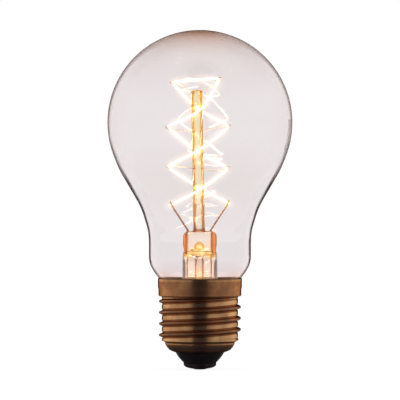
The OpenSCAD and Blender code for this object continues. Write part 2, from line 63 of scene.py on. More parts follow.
taper_h = 3
waist_z = 38.6
waist_h = 1.3
waist_depth = 0.45
vent_z = 39.1
vent_r = 1.8
vent_rise = 2.2


def circle(r, z, sides=96, x=0.0):
    return [
        (x + r * cos(tau * k / sides), r * sin(tau * k / sides), z)
        for k in range(sides)
    ]


def skin(rings, loop=False):
    """Points and faces of the surface through closed rings, its two ends closed or joined."""
    n = len(rings[0])
    points = [p for ring in rings for p in ring]
    spans = len(rings) if loop else len(rings) - 1
    faces = []
    for i in range(spans):
        a, b = i * n, (i + 1) % len(rings) * n
        faces += [(a + k, a + (k + 1) % n, b + (k + 1) % n, b + k) for k in range(n)]
    if not loop:
        for ring, step in ((rings[0], -1), (rings[-1], 1)):
            start = 0 if step < 0 else (len(rings) - 1) * n
            middle = [sum(p[axis] for p in ring) / n for axis in range(3)]
            points.append(middle)
            fan = [(start + k, start + (k + 1) % n, len(points) - 1) for k in range(n)]
            faces += fan if step > 0 else [face[::-1] for face in fan]
    return points, faces


def new_object(name, data):
    made = bpy.data.objects.new(name, data)
    bpy.context.scene.collection.objects.link(made)
    return made


def new_mesh(name, points, faces, material):
    """Mesh from points in millimetres."""
    mesh = bpy.data.meshes.new(name)
    mesh.from_pydata([Vector(p) * MM for p in points], [], faces)
    mesh.materials.append(material)
    return mesh


def new_piece(name, surface, material, slot, *stands_for):
    """Smooth mesh piece, given in millimetres, on the bulb's one body."""
    mesh = new_mesh(name, *surface, material)
    mesh.shade_smooth()
    piece = new_object(name, mesh)
    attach(piece, "root")
    if stands_for:
        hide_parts(*stands_for)
    return piece


def mark(piece, name, values):
    """Gives each point of a piece's mesh a number that its material reads."""
    piece.data.attributes.new(name, "FLOAT", "POINT").data.foreach_set("value", values)


def mark_inside(piece, count):
    """Marks the first points of a piece's mesh, which are those of its inner face."""
    mark(piece, "inner_face", [float(i < count) for i in range(len(piece.data.vertices))])


def feed(node, socket, value):
    """Gives a socket its number, its colour or the (node, output) that it is linked to."""
    socket = node.inputs[socket]
    if isinstance(value, tuple) and isinstance(value[0], bpy.types.Node):
        node.id_data.links.new(value[0].outputs[value[1]], socket)
    elif socket.type == "RGBA":
        socket.default_value = (*value, 1)
    else:
        socket.default_value = value


def add(tree, kind, **values):
    """Shader node: capital names are its sockets, and lower-case names its settings."""
    node = tree.nodes.new("ShaderNode" + kind)
    for key, value in values.items():
        if key[0].isupper():
            feed(node, key.replace("_", " "), value)
        else:
            setattr(node, key, value)
    return node


# The next four give the (node, output) of their result, for other nodes' sockets.
def maths(tree, operation, *terms):
    node = add(tree, "Math", operation=operation)
    for k, term in enumerate(terms):
        feed(node, k, term)
    return node, "Value"


def scaled(tree, value, low, high, to_low=0.0, to_high=1.0):
    """Number brought from the range low to high to another one, and kept inside it."""
    node = add(tree, "MapRange", Value=value, From_Min=low, From_Max=high,
               To_Min=to_low, To_Max=to_high)
    return node, "Result"


def coloured(tree, value, stops, interpolation="EASE"):
    """Colour that a number picks from (position, colour) stops."""
    node = add(tree, "ValToRGB", Fac=value)
    node.color_ramp.interpolation = interpolation
    elements = node.color_ramp.elements
    while len(elements) < len(stops):
        elements.new(0.5)
    for element, (position, colour) in zip(elements, stops):
        element.position = position
        element.color = (*colour, 1)
    return node, "Color"


def mixed(tree, share, first, second, blend="MIX"):
    """Mix of two colours by a share, each of them plain or another node's."""
    node = add(tree, "Mix", data_type="RGBA", blend_type=blend)
    for socket, value in ((0, share), (6, first), (7, second)):
        feed(node, socket, value)
    return node, 2


def new_material(name, **sockets):
    """Material with one Principled shader, whose own sockets take the values given."""
    material = bpy.data.materials.new(name)
    material.use_nodes = True
    shader = material.node_tree.nodes["Principled BSDF"]
    for socket, value in sockets.items():
        feed(shader, socket.replace("_", " "), value)
    return material, material.node_tree, shader


def roughen(shader, height, strength, depth):
    """Fine relief from a (node, output), with its depth in metres."""
    bump = add(shader.id_data, "Bump", Strength=strength, Distance=depth, Height=height)
    feed(shader, "Normal", (bump, "Normal"))


def new_group(name, inputs, outputs):
    """Node group with its input and output nodes. inputs gives each socket's usual value, and
    outputs each socket's kind."""
    group = bpy.data.node_groups.new(name, "ShaderNodeTree")
    for socket, value in inputs.items():
        kind = "Float" if isinstance(value, float) else "Color" if len(value) == 4 else "Vector"
        made = group.interface.new_socket(
            socket, in_out="INPUT", socket_type="NodeSocket" + kind)
        made.default_value = value
    for socket, kind in outputs.items():
        group.interface.new_socket(socket, in_out="OUTPUT", socket_type="NodeSocket" + kind)
    return group, group.nodes.new("NodeGroupInput"), group.nodes.new("NodeGroupOutput")


def fine_marks():
    """Node group for the marks that drawing, casting and heat leave: a noise of a given fineness
    along each axis, the colour between two that it picks, and a gloss that it dulls."""
    group, given, result = new_group("fine_marks", {
        "Fineness": (1000.0, 1000.0, 1000.0), "Detail": 4.0, "Roughness": 0.6, "Distortion": 0.0,
        "Low": 0.3, "High": 0.7, "Low Color": (0.5, 0.5, 0.5, 1), "High Color": (0.5, 0.5, 0.5, 1),
        "Glossy": 0.3, "Dull": 0.5},
        {"Marks": "Float", "Color": "Color", "Gloss": "Float"})
    place = add(group, "TexCoord")
    stretch = add(group, "Mapping", Vector=(place, "Object"), Scale=(given, "Fineness"))
    marks = add(group, "TexNoise", Vector=(stretch, "Vector"), Scale=1.0, Detail=(given, "Detail"),
                Roughness=(given, "Roughness"), Distortion=(given, "Distortion"))
    share = add(group, "MapRange", interpolation_type="SMOOTHSTEP", Value=(marks, "Fac"),
                From_Min=(given, "Low"), From_Max=(given, "High"))
    feed(result, "Marks", (marks, "Fac"))
    feed(result, "Color", mixed(
        group, (share, "Result"), (given, "Low Color"), (given, "High Color")))
    feed(result, "Gloss", scaled(
        group, (marks, "Fac"), 0.0, 1.0, (given, "Glossy"), (given, "Dull")))
    return group


marks_group = fine_marks()


def marked(tree, *fineness, **values):
    """Fine marks in a material, with one fineness or one for each axis."""
    if len(fineness) == 1:
        fineness *= 3
    return add(tree, "Group", node_tree=marks_group, Fineness=fineness, **values)


def clear_glass(name, soak, density):
    """Clear glass, and a node with the place of each point of it. It soaks up light by its depth."""
    material, tree, shader = new_material(
        name, Roughness=0.0, IOR=1.5, Transmission_Weight=1.0, Emission_Strength=1.0)
    soaking = add(tree, "VolumeAbsorption", Color=soak, Density=density)
    feed(tree.nodes["Material Output"], "Volume", (soaking, "Volume"))
    place = add(tree, "TexCoord")
    return material, tree, shader, add(tree, "SeparateXYZ", Vector=(place, "Object"))


def drawn_glass(name, low_z, high_z, face, edge, glow, turned, uneven_by=0.3, density=25):
    """Solid glass with soft drawing streaks, and the filament's light painted on.

    face, edge and glow are colour stops from low_z to high_z, in millimetres: the colour seen
    square on; a painted colour near the outline, dark in some pieces and amber in others, for the
    shade and the filament's light that the glass shows there; and a painted glow for the
    filament's light that the glass passes on. turned gives the share of the edge colour by how far
    the face turns away from the eye. Faces that the mesh marks as inner_face take none.
    """
    material, tree, shader, apart = clear_glass(name, (0.8, 0.6, 0.4), density)
    height = scaled(tree, (apart, "Z"), low_z * MM, high_z * MM)
    streaks = marked(tree, 900, 900, 260, Detail=3.0, Roughness=0.6), "Marks"
    turned_away = add(tree, "LayerWeight", Blend=0.5)
    uneven = maths(tree, "MULTIPLY_ADD", streaks, uneven_by, (turned_away, "Facing"))
    nearness = coloured(tree, uneven, [(at, (share, share, share)) for at, share in turned])
    inner_face = add(tree, "Attribute", attribute_name="inner_face")
    outer_face = scaled(tree, (inner_face, "Fac"), 0.0, 1.0, 1.0, 0.0)
    tint_with_painted_edge = mixed(tree, maths(tree, "MULTIPLY", nearness, outer_face),
                 coloured(tree, height, face), coloured(tree, height, edge))
    painted_glow = coloured(tree, height, glow)
    feed(shader, "Base Color", tint_with_painted_edge)
    feed(shader, "Emission Color", painted_glow)
    roughen(shader, streaks, 0.6, 0.00008)
    return material, tree, shader, apart, streaks, tint_with_painted_edge, painted_glow


# Painted: the stem browns and turns amber towards its outline, and it glows faintly.
stem_glass, tree, shader, apart, streaks, tint_with_painted_edge, painted_glow = drawn_glass(
    "stem_glass", 24, 45,
    [(0.0, (1.0, 0.97, 0.95)), (0.72, (1.0, 0.94, 0.86)), (0.82, (1.0, 0.97, 0.92)),
     (1.0, (1.0, 0.96, 0.9))],
    [(0.0, (0.015, 0.004, 0.002)), (0.55, (0.015, 0.004, 0.002)), (0.68, (0.6, 0.22, 0.03)),
     (1.0, (0.4, 0.13, 0.03))],
    [(0.0, (0.07, 0.04, 0.01)), (0.42, (0.05, 0.03, 0.01)), (0.6, (0.01, 0.0, 0.0)),
     (0.75, (0.07, 0.03, 0.0)), (0.94, (0.07, 0.04, 0.01)), (1.0, (0.3, 0.2, 0.08))],
    [(0.5, 0.0), (0.6, 1.0)])
# Amber bands are painted in the press's sides, for the seal wires' red-brown skin seen magnified
# there.
sideways = maths(tree, "ABSOLUTE", maths(tree, "SUBTRACT", (apart, "X"), mount_x * MM))
outward = scaled(tree, maths(tree, "MULTIPLY_ADD", streaks, 0.0007, sideways), 0.0003, 0.0063)
above_waist = scaled(tree, (apart, "Z"), 0.0362, 0.0372)
tint_with_painted_seals = mixed(tree, above_waist, tint_with_painted_edge, coloured(tree, outward, [
    (0.56, white), (0.62, (0.8, 0.42, 0.15)), (0.68, (1.0, 0.33, 0.0)),
    (0.81, (1.0, 0.3, 0.0)), (0.88, (0.3, 0.08, 0.0))], "LINEAR"), "MULTIPLY")
# Between them, a ragged golden band across the waist, with painted glints and a painted glow,
# that hangs lower towards the sides.
painted_glint_noise = marked(tree, 330, 330, 1500, Detail=3.0, Roughness=0.65, Distortion=0.6), "Marks"
painted_gold = coloured(tree, painted_glint_noise, [
    (0.36, (0.5, 0.18, 0.01)), (0.43, (0.95, 0.55, 0.12)), (0.5, (1.0, 0.84, 0.4)),
    (0.6, (1.0, 0.98, 0.85))])
painted_gold_glow = coloured(tree, painted_glint_noise, [
    (0.38, (0.03, 0.01, 0.0)), (0.48, (0.2, 0.12, 0.02)), (0.6, (0.42, 0.33, 0.16))])
ragged = maths(tree, "MULTIPLY_ADD", streaks, 0.0009, (apart, "Z"))
hanging = scaled(tree, outward, 0.42, 0.7, 0.0, 0.0016)
painted_gold_band = coloured(
    tree, scaled(tree, maths(tree, "ADD", ragged, hanging), 0.0355, 0.0415),
    [(0.26, black), (0.36, white), (0.62, white), (0.74, black)], "LINEAR")
between_sides = scaled(tree, outward, 0.6, 0.74, 1.0, 0.2)
painted_gold_share = maths(tree, "MULTIPLY", painted_gold_band, between_sides)
feed(shader, "Base Color", mixed(tree, painted_gold_share, tint_with_painted_seals, painted_gold))
feed(shader, "Emission Color", mixed(tree, painted_gold_share, painted_glow, painted_gold_glow))
# Painted: the vent bubble's golden colour, its amber outline and its glow, for the filament's light
# that it gathers.
vent_glass = drawn_glass(
    "vent_glass", 37, 42,
    [(0.0, (1.0, 0.92, 0.6)), (1.0, (1.0, 0.96, 0.75))],
    [(0.0, (0.8, 0.4, 0.06)), (0.5, (0.6, 0.24, 0.03)), (1.0, (0.6, 0.2, 0.02))],
    [(0.0, (0.3, 0.22, 0.06)), (1.0, (0.25, 0.18, 0.05))],
    [(0.35, 0.0), (0.62, 1.0)])[0]


def smoothed(u):
    u = min(1.0, max(0.0, u))
    return u * u * (3 - 2 * u)


def press_ring(z, half_w, half_t, squareness):
    """Rounded cross-section of the stem: a circle at squareness 2, flatter above it."""
    ring = []
    for k in range(stem_sides):
        c, s = cos(tau * k / stem_sides), sin(tau * k / stem_sides)
        ring.append((
            half_w * copysign(abs(c) ** (2 / squareness), c),
            half_t * copysign(abs(s) ** (2 / squareness), s),
            z,
        ))
    return ring


def stem_level(z):
    """Half width, half thickness and squareness of the stem at a height."""
    u = smoothed((z - pinch_z) / pinch_h)
    waist = stem_r - waist_depth * exp(-((z - waist_z) / waist_h) ** 2)
    half_w = waist - press_taper * smoothed((z - taper_z) / taper_h)
    return half_w, stem_r + (press_half_t - stem_r) * u, 2 + press_flatness * u


def stem_surface():
    """The stem from the dome of its cavity down the inside, round the foot and up the outside."""
    rings = []
    for i in range(9):
        a = radians(90 - 11.25 * i)
        z = hollow_z - hollow_round * (1 - sin(a))
        half_w, half_t, squareness = stem_level(z)
        inset = hollow_round * (1 - sin(radians(90) - a))
        rings.append(press_ring(
            z, half_w - stem_wall - inset, max(0.3, half_t - stem_wall - inset), squareness))
    z = hollow_z - hollow_round - 0.35
    while z > trumpet_z:
        half_w, half_t, squareness = stem_level(z)
        rings.append(press_ring(z, half_w - stem_wall, half_t - stem_wall, squareness))
        z -= 0.5
    trumpet_r = flare_r - stem_r
    for r, start, step in ((trumpet_r + stem_wall, 180, 6.43), (trumpet_r, 270, -6.43)):
        for i in range(15):
            a = radians(start + step * i)
            rings.append(circle(flare_r + r * cos(a), trumpet_z + r * sin(a)))
    z = trumpet_z + 0.47
    while z < press_z - press_round:
        rings.append(press_ring(z, *stem_level(z)))
        z += 0.4
    half_w, half_t, squareness = stem_level(press_z)
    for i in range(9):
        a = radians(11.25 * i)
        inset = press_round * (1 - cos(a))
        z = press_z - press_round * (1 - sin(a))
        rings.append(press_ring(z, half_w - inset, half_t - inset, squareness))
    rings.append(press_ring(
        press_z, half_w - press_round - 1.2, half_t - press_round - 0.5, squareness))
    return skin(rings)


def vent_surface():
    """Wall of the vent bubble, domed above and flatter below, facing into the bubble."""
    rings = []
    for i in range(1, 18):
        a = pi * i / 18
        up = vent_rise if a < pi / 2 else 0.45 * vent_rise
        rings.append(circle(vent_r * sin(a), vent_z + up * cos(a), 40, mount_x))
    return skin(rings)


stem_points, stem_faces = stem_surface()
vent_points, vent_faces = vent_surface()
shift = len(stem_points)
stem = new_piece(
    "pinched_stem",
    (stem_points + vent_points, stem_faces + [tuple(i + shift for i in f) for f in vent_faces]),
    stem_glass, "stem_glass", "stem")
inner_rings = 38
mark_inside(stem, inner_rings * stem_sides)
stem.data.materials.append(vent_glass)
for face in stem.data.polygons[len(stem_faces):]:
    face.material_index = 1

# ---- Exhaust tube ----
# The narrow glass tube through which the bulb was pumped out. It is fused into the press from
# below, and was melted shut at its lower tip, inside the cap.
exhaust_r = 1.45
exhaust_bore_r = 0.8
exhaust_top_z = 37.0
exhaust_tip_z = 17.0
tip_start_z = 21.0
tip_inside_z = 18.6
exhaust_sides = 48


def bezier(a, b, c, steps):
    """Points on the curve from a to c that leans towards b."""
    curve = []
    for i in range(steps + 1):
        u = i / steps
        curve.append(tuple(
            (1 - u) ** 2 * p + 2 * u * (1 - u) * q + u * u * r for p, q, r in zip(a, b, c)))
    return curve


def lathe(profile, sides=96, x=0.0, loop=False):
    """Turned piece round the bulb's axis, from (radius, height) points."""
    return skin([circle(max(r, 0.001), z, sides, x) for r, z in profile], loop)


exhaust_inside = [(exhaust_bore_r, exhaust_top_z)]
exhaust_inside += [(exhaust_bore_r, exhaust_top_z - 1.6 * i) for i in range(1, 10)]
exhaust_inside += bezier(
    (exhaust_bore_r, tip_start_z), (exhaust_bore_r, tip_inside_z), (0.0, tip_inside_z), 8)
exhaust_outside = bezier((0.0, exhaust_tip_z), (0.9, 17.8), (exhaust_r, tip_start_z), 8)
exhaust_outside += [(exhaust_r, tip_start_z + 1.6 * i) for i in range(1, 10)]
exhaust_outside.append((exhaust_r, exhaust_top_z + 0.15))
# Painted: the tube's outline darkens to red-brown, and it glows faintly.
exhaust_glass = drawn_glass(
    "exhaust_glass", 17, 38,
    [(0.0, (1.0, 0.95, 0.88)), (0.6, (1.0, 0.93, 0.8)), (0.85, (1.0, 0.97, 0.95)),
     (1.0, (1.0, 0.9, 0.7))],
    [(0.0, (0.35, 0.08, 0.01)), (0.68, (0.28, 0.06, 0.01)), (1.0, (0.16, 0.05, 0.02))],
    [(0.0, (0.1, 0.07, 0.02)), (0.62, (0.08, 0.05, 0.01)), (0.8, black), (1.0, black)],
    [(0.24, 0.0), (0.38, 1.0)])[0]
pump_tube = new_piece(
    "pump_tube", lathe(exhaust_inside + exhaust_outside, exhaust_sides, mount_x, loop=True),
    exhaust_glass, "stem_glass", "exhaust_tube")
mark_inside(pump_tube, len(exhaust_inside) * exhaust_sides)

# ---- Glass rod ----
# A solid rod drawn from soft glass, fused upright into the top of the press. It leans a little,
# its end is melted round, and the support wires were pushed into it while it was hot.
rod_r = 1.85
rod_l = 45.5
rod_lean = radians(1)
rod_seat = 2.5
rod_round = 0.98
rod_sides = 48
# Painted: the rod's yellow colour, its amber outline and its glow, for the filament's light that it
# gathers.
rod_glass = drawn_glass(
    "rod_glass", 44, 91,
    [(0.0, (1.0, 0.92, 0.84)), (0.12, (1.0, 0.92, 0.78)), (0.3, (0.98, 0.92, 0.68)),
     (1.0, (0.96, 0.88, 0.54))],
    [(0.0, (0.25, 0.03, 0.0)), (0.12, (0.46, 0.1, 0.0)), (0.35, (0.7, 0.25, 0.0)),
     (1.0, (0.7, 0.25, 0.0))],
    [(0.0, (0.02, 0.01, 0.0)), (0.2, (0.05, 0.03, 0.0)), (0.5, (0.08, 0.06, 0.02)),
     (1.0, (0.06, 0.04, 0.01))],
    [(0.27, 0.0), (0.38, 1.0), (0.84, 1.0), (0.96, 0.2)], uneven_by=0.4, density=15)[0]


def rod_axis(h):
    """Point on the rod's axis at a height above the press."""
    return Vector((mount_x - (h + rod_seat) * tan(rod_lean), 0, press_z + h))


def rod_ring(h, r):
    centre = rod_axis(h)
    return [(centre.x + p[0], p[1], centre.z) for p in circle(r, 0, rod_sides)]


def rod_surface():
    """The rod, a little uneven, with a fillet where it meets the press and a rounded end."""
    rings = []
    levels = [-0.3, 0.0, 0.25, 0.6, 1.1] + [1.1 + 0.55 * i for i in range(1, 80)]
    for h in levels:
        if h < rod_l - 1.0:
            fillet = 0.5 * exp(-max(h, 0) / 0.35)
            wave = 0.05 * noise.noise(Vector((0, 0, h * 0.35)))
            rings.append(rod_ring(h, rod_r + fillet + wave))
    for i in range(1, 9):
        a = radians(11.25 * i)
        rings.append(rod_ring(
            rod_l - 1.0 + rod_round * sin(a), rod_r - 0.95 + rod_round * cos(a)))
    rings.append(rod_ring(rod_l, 0.4))
    return skin(rings)


new_piece("support_rod", rod_surface(), rod_glass, "rod_glass", "arbor_rod")

# ---- Filament ----
# One long wire, wound into a fine tight coil and hung in a double zigzag round the rod. It passes
# the rod in front and behind in turn. Current heats it to a warm white, less so where it is held.
coil_r = 0.4
coil_wire_r = 0.085
coil_pitch = 0.27
coil_steps = 9
pass_y = 2.8
# Hooks, and the points where the filament passes the rod: x, y and height above the press.
HOOKS = [
    (-9.1, -3.9, 8.7), (9.3, 1.35, 20.4), (-10.7, 1.35, 33.7), (6.5, -3.9, 49.2),
    (-9.3, 3.9, 48.2), (9.6, -1.35, 33.7), (-10.5, -1.35, 20.8), (9.0, 3.9, 9.3),
]
PASSES = [
    (0.3, -pass_y, 13.6), (-0.8, pass_y, 25.5), (0.1, -pass_y, 39.1), (-1.5, 0, 48.7),
    (-0.8, pass_y, 39.7), (0.1, -pass_y, 26.4), (0.1, pass_y, 13.9),
]
last_hook = len(HOOKS) - 1
corner_l = 1.5
tail_l = 0.9
cooled_l = 2.2
lamp_r = 2.3
lamp_gap = 1.75
least_gap = 1.7
rod_clearance = 2.6
hooks = [Vector(p) + Vector((0, 0, press_z)) for p in HOOKS]
passes = [Vector(p) + Vector((0, 0, press_z)) for p in PASSES]


def bend(a, b, ta, tb, u):
    """Point at u, from 0 to 1, on the curve from a to b with headings ta and tb."""
    return (
        (2 * u ** 3 - 3 * u * u + 1) * a + (u ** 3 - 2 * u * u + u) * ta
        + (3 * u * u - 2 * u ** 3) * b + (u ** 3 - u * u) * tb)


def run(i, u):
    """Point at u, from 0 to 1, on the filament between hook i and the next."""
    a, m, b = hooks[i], passes[i], hooks[i + 1]
    t = (b - a) / 2
    return bend(a, m, m - a, t, 2 * u) if u < 0.5 else bend(m, b, t, b - m, 2 * u - 1)


def run_start(i):
    return 0.0 if i == 0 else corner_l / (passes[i] - hooks[i]).length / 2


def run_end(i):
    return 1.0 if i == last_hook - 1 else 1 - corner_l / (hooks[i + 1] - passes[i]).length / 2


def turn(i, u):
    """Point on the filament's turn at hook i."""
    a, c = run(i - 1, run_end(i - 1)), run(i, run_start(i))
    return (1 - u) ** 2 * a + 2 * u * (1 - u) * hooks[i] + u * u * c


start_heading = (run(0, 0.05) - hooks[0]).normalized()
end_heading = (hooks[last_hook] - run(last_hook - 1, 0.95)).normalized()
route = [hooks[0] - tail_l * start_heading]
for i in range(last_hook):
    a, b = run_start(i), run_end(i)
    route += [run(i, a + (b - a) * k / 14) for k in range(15)]
    if i + 1 < last_hook:
        route += [turn(i + 1, u) for u in (0.17, 0.33, 0.5, 0.67, 0.83)]
route.append(hooks[last_hook] + tail_l * end_heading)


def evenly(points, spacing):
    """Points at even spacing along a row of points."""
    lengths = [0.0]
    for p, q in zip(points, points[1:]):
        lengths.append(lengths[-1] + (q - p).length)
    count = max(2, round(lengths[-1] / spacing))
    result = []
    i = 0
    for k in range(count + 1):
        s = lengths[-1] * k / count
        while i < len(points) - 2 and lengths[i + 1] < s:
            i += 1
        span = lengths[i + 1] - lengths[i]
        result.append(points[i].lerp(points[i + 1], (s - lengths[i]) / span if span else 0))
    return result


def frames(points):
    """Point and two sides of an untwisted frame at each point of a row."""
    result = []
    side = Vector((0, 1, 0))
    for i, p in enumerate(points):
        heading = (points[min(i + 1, len(points) - 1)] - points[max(i - 1, 0)]).normalized()
        side = (side - side.dot(heading) * heading).normalized()
        result.append((p, side, heading.cross(side)))
    return result


def round_point(p, a, b, r, k, steps):
    """Point k of the steps round a circle about p, between its sides a and b."""
    return p + r * (a * cos(tau * k / steps) + b * sin(tau * k / steps))


def wire(points, radii, sides=10):
    """Round wire along a row of points. radii is one radius or one for each point."""
    if not isinstance(radii, list):
        radii = [radii] * len(points)
    return skin([
        [round_point(*at, r, k, sides) for k in range(sides)]
        for at, r in zip(frames(points), radii)])


coiled = [
    round_point(*at, coil_r - coil_wire_r, k, coil_steps)
    for k, at in enumerate(frames(evenly(route, coil_pitch / coil_steps)))]
filament_wire, tree, shader = new_material(
    "glowing_filament", Base_Color=(0.25, 0.22, 0.2), Metallic=1.0, Roughness=0.5,
    Emission_Strength=22.0)
heat = add(tree, "Attribute", attribute_name="wire_heat")
glow = coloured(tree, (heat, "Fac"), [
    (0.0, (0.02, 0.004, 0.001)), (0.5, (0.75, 0.54, 0.36)), (1.0, (1.0, 0.84, 0.58))])
# Seen directly, the wire is far dimmer than it is to the faint mirror images in the glass.
path = add(tree, "LightPath")
direct = scaled(tree, (path, "Is Reflection Ray"), 0.0, 1.0, 0.11, 1.0)
dimmed = add(tree, "VectorMath", operation="SCALE", Vector=glow, Scale=direct)
feed(shader, "Emission Color", (dimmed, "Vector"))
coil = new_piece(
    "coiled_filament", wire(coiled, coil_wire_r, 4), filament_wire, "filament_wire", "filament")
held = [hooks[0], hooks[last_hook]] + [turn(i, 0.5) for i in range(1, last_hook)]
mark(coil, "wire_heat", [
    0.5 + 0.5 * smoothed(min((vertex.co / MM - p).length for p in held) / cooled_l)
    for vertex in coil.data.vertices])

# The soft light round the hot wire, as the eye sees it: a row of faint round lamps along it, each
# fading to nothing at its own edge, with none in the rod or behind it.
glow_lamp = bpy.data.lights.new("filament_glow", "POINT")
glow_lamp.energy = 0.000029
glow_lamp.color = (1.0, 0.7, 0.44)
glow_lamp.shadow_soft_size = lamp_r * MM
glow_lamp.use_soft_falloff = False
glow_lamp.use_nodes = True
tree = glow_lamp.node_tree
turned_away = add(tree, "LayerWeight", Blend=0.5)
fading = maths(tree, "POWER", scaled(tree, (turned_away, "Facing"), 0.0, 1.0, 1.0, 0.0), 3.0)
feed(tree.nodes["Emission"], "Strength", fading)
lamp_spots = []
for spot in evenly(route, lamp_gap):
    behind_rod = spot.y > 0 and abs(spot.x - mount_x) < rod_clearance
    if behind_rod or any((spot - other).length < least_gap for other in lamp_spots):
        continue
    lamp_spots.append(spot)
    new_object("filament_glow", glow_lamp).location = spot * MM

# ---- Support wires ----
# Six thin springy wires, each pushed into the hot glass rod at one end and curled round a turn of
# the filament at the other, so that the filament can slide as it grows and shrinks.
support_r = 0.11
curl_r = 1.0
curl_rise = 0.6
foot_set = 0.5
wire_sag = 0.12
# The hook that each wire holds, and the height of its foot above the press.
SUPPORTS = {
    "support_low_left": (6, 20.2), "support_low_right": (1, 20.2),
    "support_mid_left": (2, 32.1), "support_mid_right": (5, 32.1),
    "support_top_left": (4, 44.4), "support_top_right": (3, 44.4),
}


def rounded(points, steps=5):
    """Smooth row of points through the given ones."""
    result = []
    for i in range(len(points) - 1):
        p0, p1 = points[max(i - 1, 0)], points[i]
        p2, p3 = points[i + 1], points[min(i + 2, len(points) - 1)]
        for k in range(steps):
            result.append(bend(p1, p2, (p2 - p0) / 2, (p3 - p1) / 2, k / steps))
    return result + [points[-1]]


def support_path(i, foot_h):
    """Wire from its foot in the rod out to hook i, and once round the filament's turn."""
    axis = (turn(i, 0.75) - turn(i, 0.25)).normalized()
    foot = rod_axis(foot_h)
    out = turn(i, 0.5) - foot
    foot = foot + foot_set * Vector((out.x, out.y, 0)).normalized()
    out = turn(i, 0.5) - foot
    out = (out - out.dot(axis) * axis).normalized()
    side = axis.cross(out)
    curl = []
    for k in range(21):
        a = radians(20 * k)
        curl.append(
            turn(i, 0.5) + curl_r * (side * cos(a) + out * sin(a))
            + axis * curl_rise * (a / tau - 0.5))
    sag = Vector((0, 0, -wire_sag))
    return rounded([foot, foot.lerp(curl[0], 0.35) + sag, foot.lerp(curl[0], 0.7) + sag] + curl, 3)


support_wire, tree, shader = new_material(
    "support_wire", Metallic=0.8, Roughness=0.45, Emission_Strength=0.2)
oxide_and_glow = marked(
    tree, 2600, Detail=4.0, Roughness=0.65, Low=0.35, Low_Color=(0.68, 0.48, 0.37),
    High=0.65, High_Color=(0.46, 0.3, 0.22))
feed(shader, "Base Color", (oxide_and_glow, "Color"))
# The oxide's colours also make a faint painted glow, for the filament's light on the wire.
feed(shader, "Emission Color", (oxide_and_glow, "Color"))
for node, (i, foot_h) in SUPPORTS.items():
    new_piece(
        node + "_wire", wire(support_path(i, foot_h), support_r, 10), support_wire,
        "support_wire", node)

# ---- Inner lead wires ----
# Two stout nickel-plated wires that stand out of the press and carry the current to the
# filament's ends. Each is folded over the coil's end and squeezed flat, and painted red-brown for
# the glow on it.
lead_r = 0.3
lead_x = {"left": mount_x - 3.9, "right": mount_x + 3.9}
seal_top_z = 42.4
clamp_r = 0.77
clamp_in = 1.6
clamp_out = 0.9
lead_wire, tree, shader = new_material("lead_wire", Metallic=1.0, Roughness=0.36)
drawing_marks = marked(tree, 1500, Detail=5.0, Roughness=0.7), "Marks"
# Painted: the wire's colour is warmed to red-brown, for the filament's glow on it.
feed(shader, "Base Color", coloured(tree, drawing_marks, [
    (0.25, (0.42, 0.2, 0.09)), (0.6, (0.62, 0.34, 0.17)), (0.9, (0.72, 0.46, 0.27))]))
roughen(shader, drawing_marks, 0.3, 0.00003)


def lead_path(x, end, heading):
    """Wire from the seal straight up out of the press, and folded over the filament's end."""
    foot = Vector((x, 0, press_z))
    up = end - foot
    up = (up - up.dot(heading) * heading).normalized()
    across = heading.cross(up)
    fold = [
        end + clamp_r * (across * cos(radians(a)) + up * sin(radians(a)))
        for a in range(0, 181, 20)
    ]
    straight = [
        Vector((x, 0, seal_top_z)), foot, foot + Vector((0, 0, 0.6)),
        end - clamp_in * up + across * clamp_r
    ]
    return rounded(straight, 6)[:-1] + rounded(
        [straight[-1]] + fold + [end - clamp_out * up - across * clamp_r], 3)


for side, end, heading in (
        ("left", hooks[0], start_heading), ("right", hooks[last_hook], end_heading)):
    new_piece(
        f"lead_{side}", wire(lead_path(lead_x[side], end, heading), lead_r, 14), lead_wire,
        "lead_wire", f"inner_lead_{side}")

# ---- Seal wires ----
# The short lengths in the press that grow and shrink as the glass does, so that the seal stays
# tight. Copper-clad, with a red-brown borate skin, and welded between the leads above and below.
seal_end_z = 37.8
seal_wire, tree, shader = new_material(
    "seal_wire", Metallic=0.3, Roughness=0.5, Emission_Strength=0.25)
borate_and_glow = marked(
    tree, 1800, Detail=3.0, Roughness=0.5, Low_Color=(0.75, 0.26, 0.06),
    High_Color=(0.95, 0.45, 0.14))
feed(shader, "Base Color", (borate_and_glow, "Color"))
# The borate's colours also make a faint painted glow, for the filament's light on the wire.
feed(shader, "Emission Color", (borate_and_glow, "Color"))
for side, x in lead_x.items():
    rows = [seal_top_z + 0.35, seal_top_z + 0.1, seal_top_z - 0.15]
    widths = [0.31, 0.33, 0.3]
    rows += [seal_top_z - 0.5 - 0.5 * i for i in range(8)] + [seal_end_z + 0.2, seal_end_z]
    widths += [0.34 + 0.05 * noise.noise(Vector((x, 0, i))) for i in range(8)] + [0.25, 0.21]
    new_piece(
        f"seal_{side}", wire([Vector((x, 0, z)) for z in rows], widths, 14), seal_wire,
        "seal_wire", f"seal_wire_{side}")

# ---- Copper leads and fuse ----
# Soft copper wires from the seal wires down through the flare tube: one by way of a short fuse
# link to the centre contact, the other under the glass foot and up to the rim of the cap.
copper_r = 0.2
copper_bend = 0.4
side_angle = radians(60)
notch_z = 28.2
under_z = 24.08
slot_r = 12.345
out_r = 12.82
bead_mid_r = 14.2
fuse_top_z = 14.0
fuse_end_z = 10.0
fuse_radii = [0.17] + [0.1] * 7 + [0.17]
copper, tree, shader = new_material("copper_wire", Metallic=1.0, Roughness=0.34)
dulling = marked(
    tree, 1200, Low_Color=(0.7, 0.33, 0.19), High=0.75, High_Color=(0.42, 0.18, 0.1),
    Glossy=0.28, Dull=0.5)
feed(shader, "Base Color", (dulling, "Color"))
feed(shader, "Roughness", (dulling, "Gloss"))


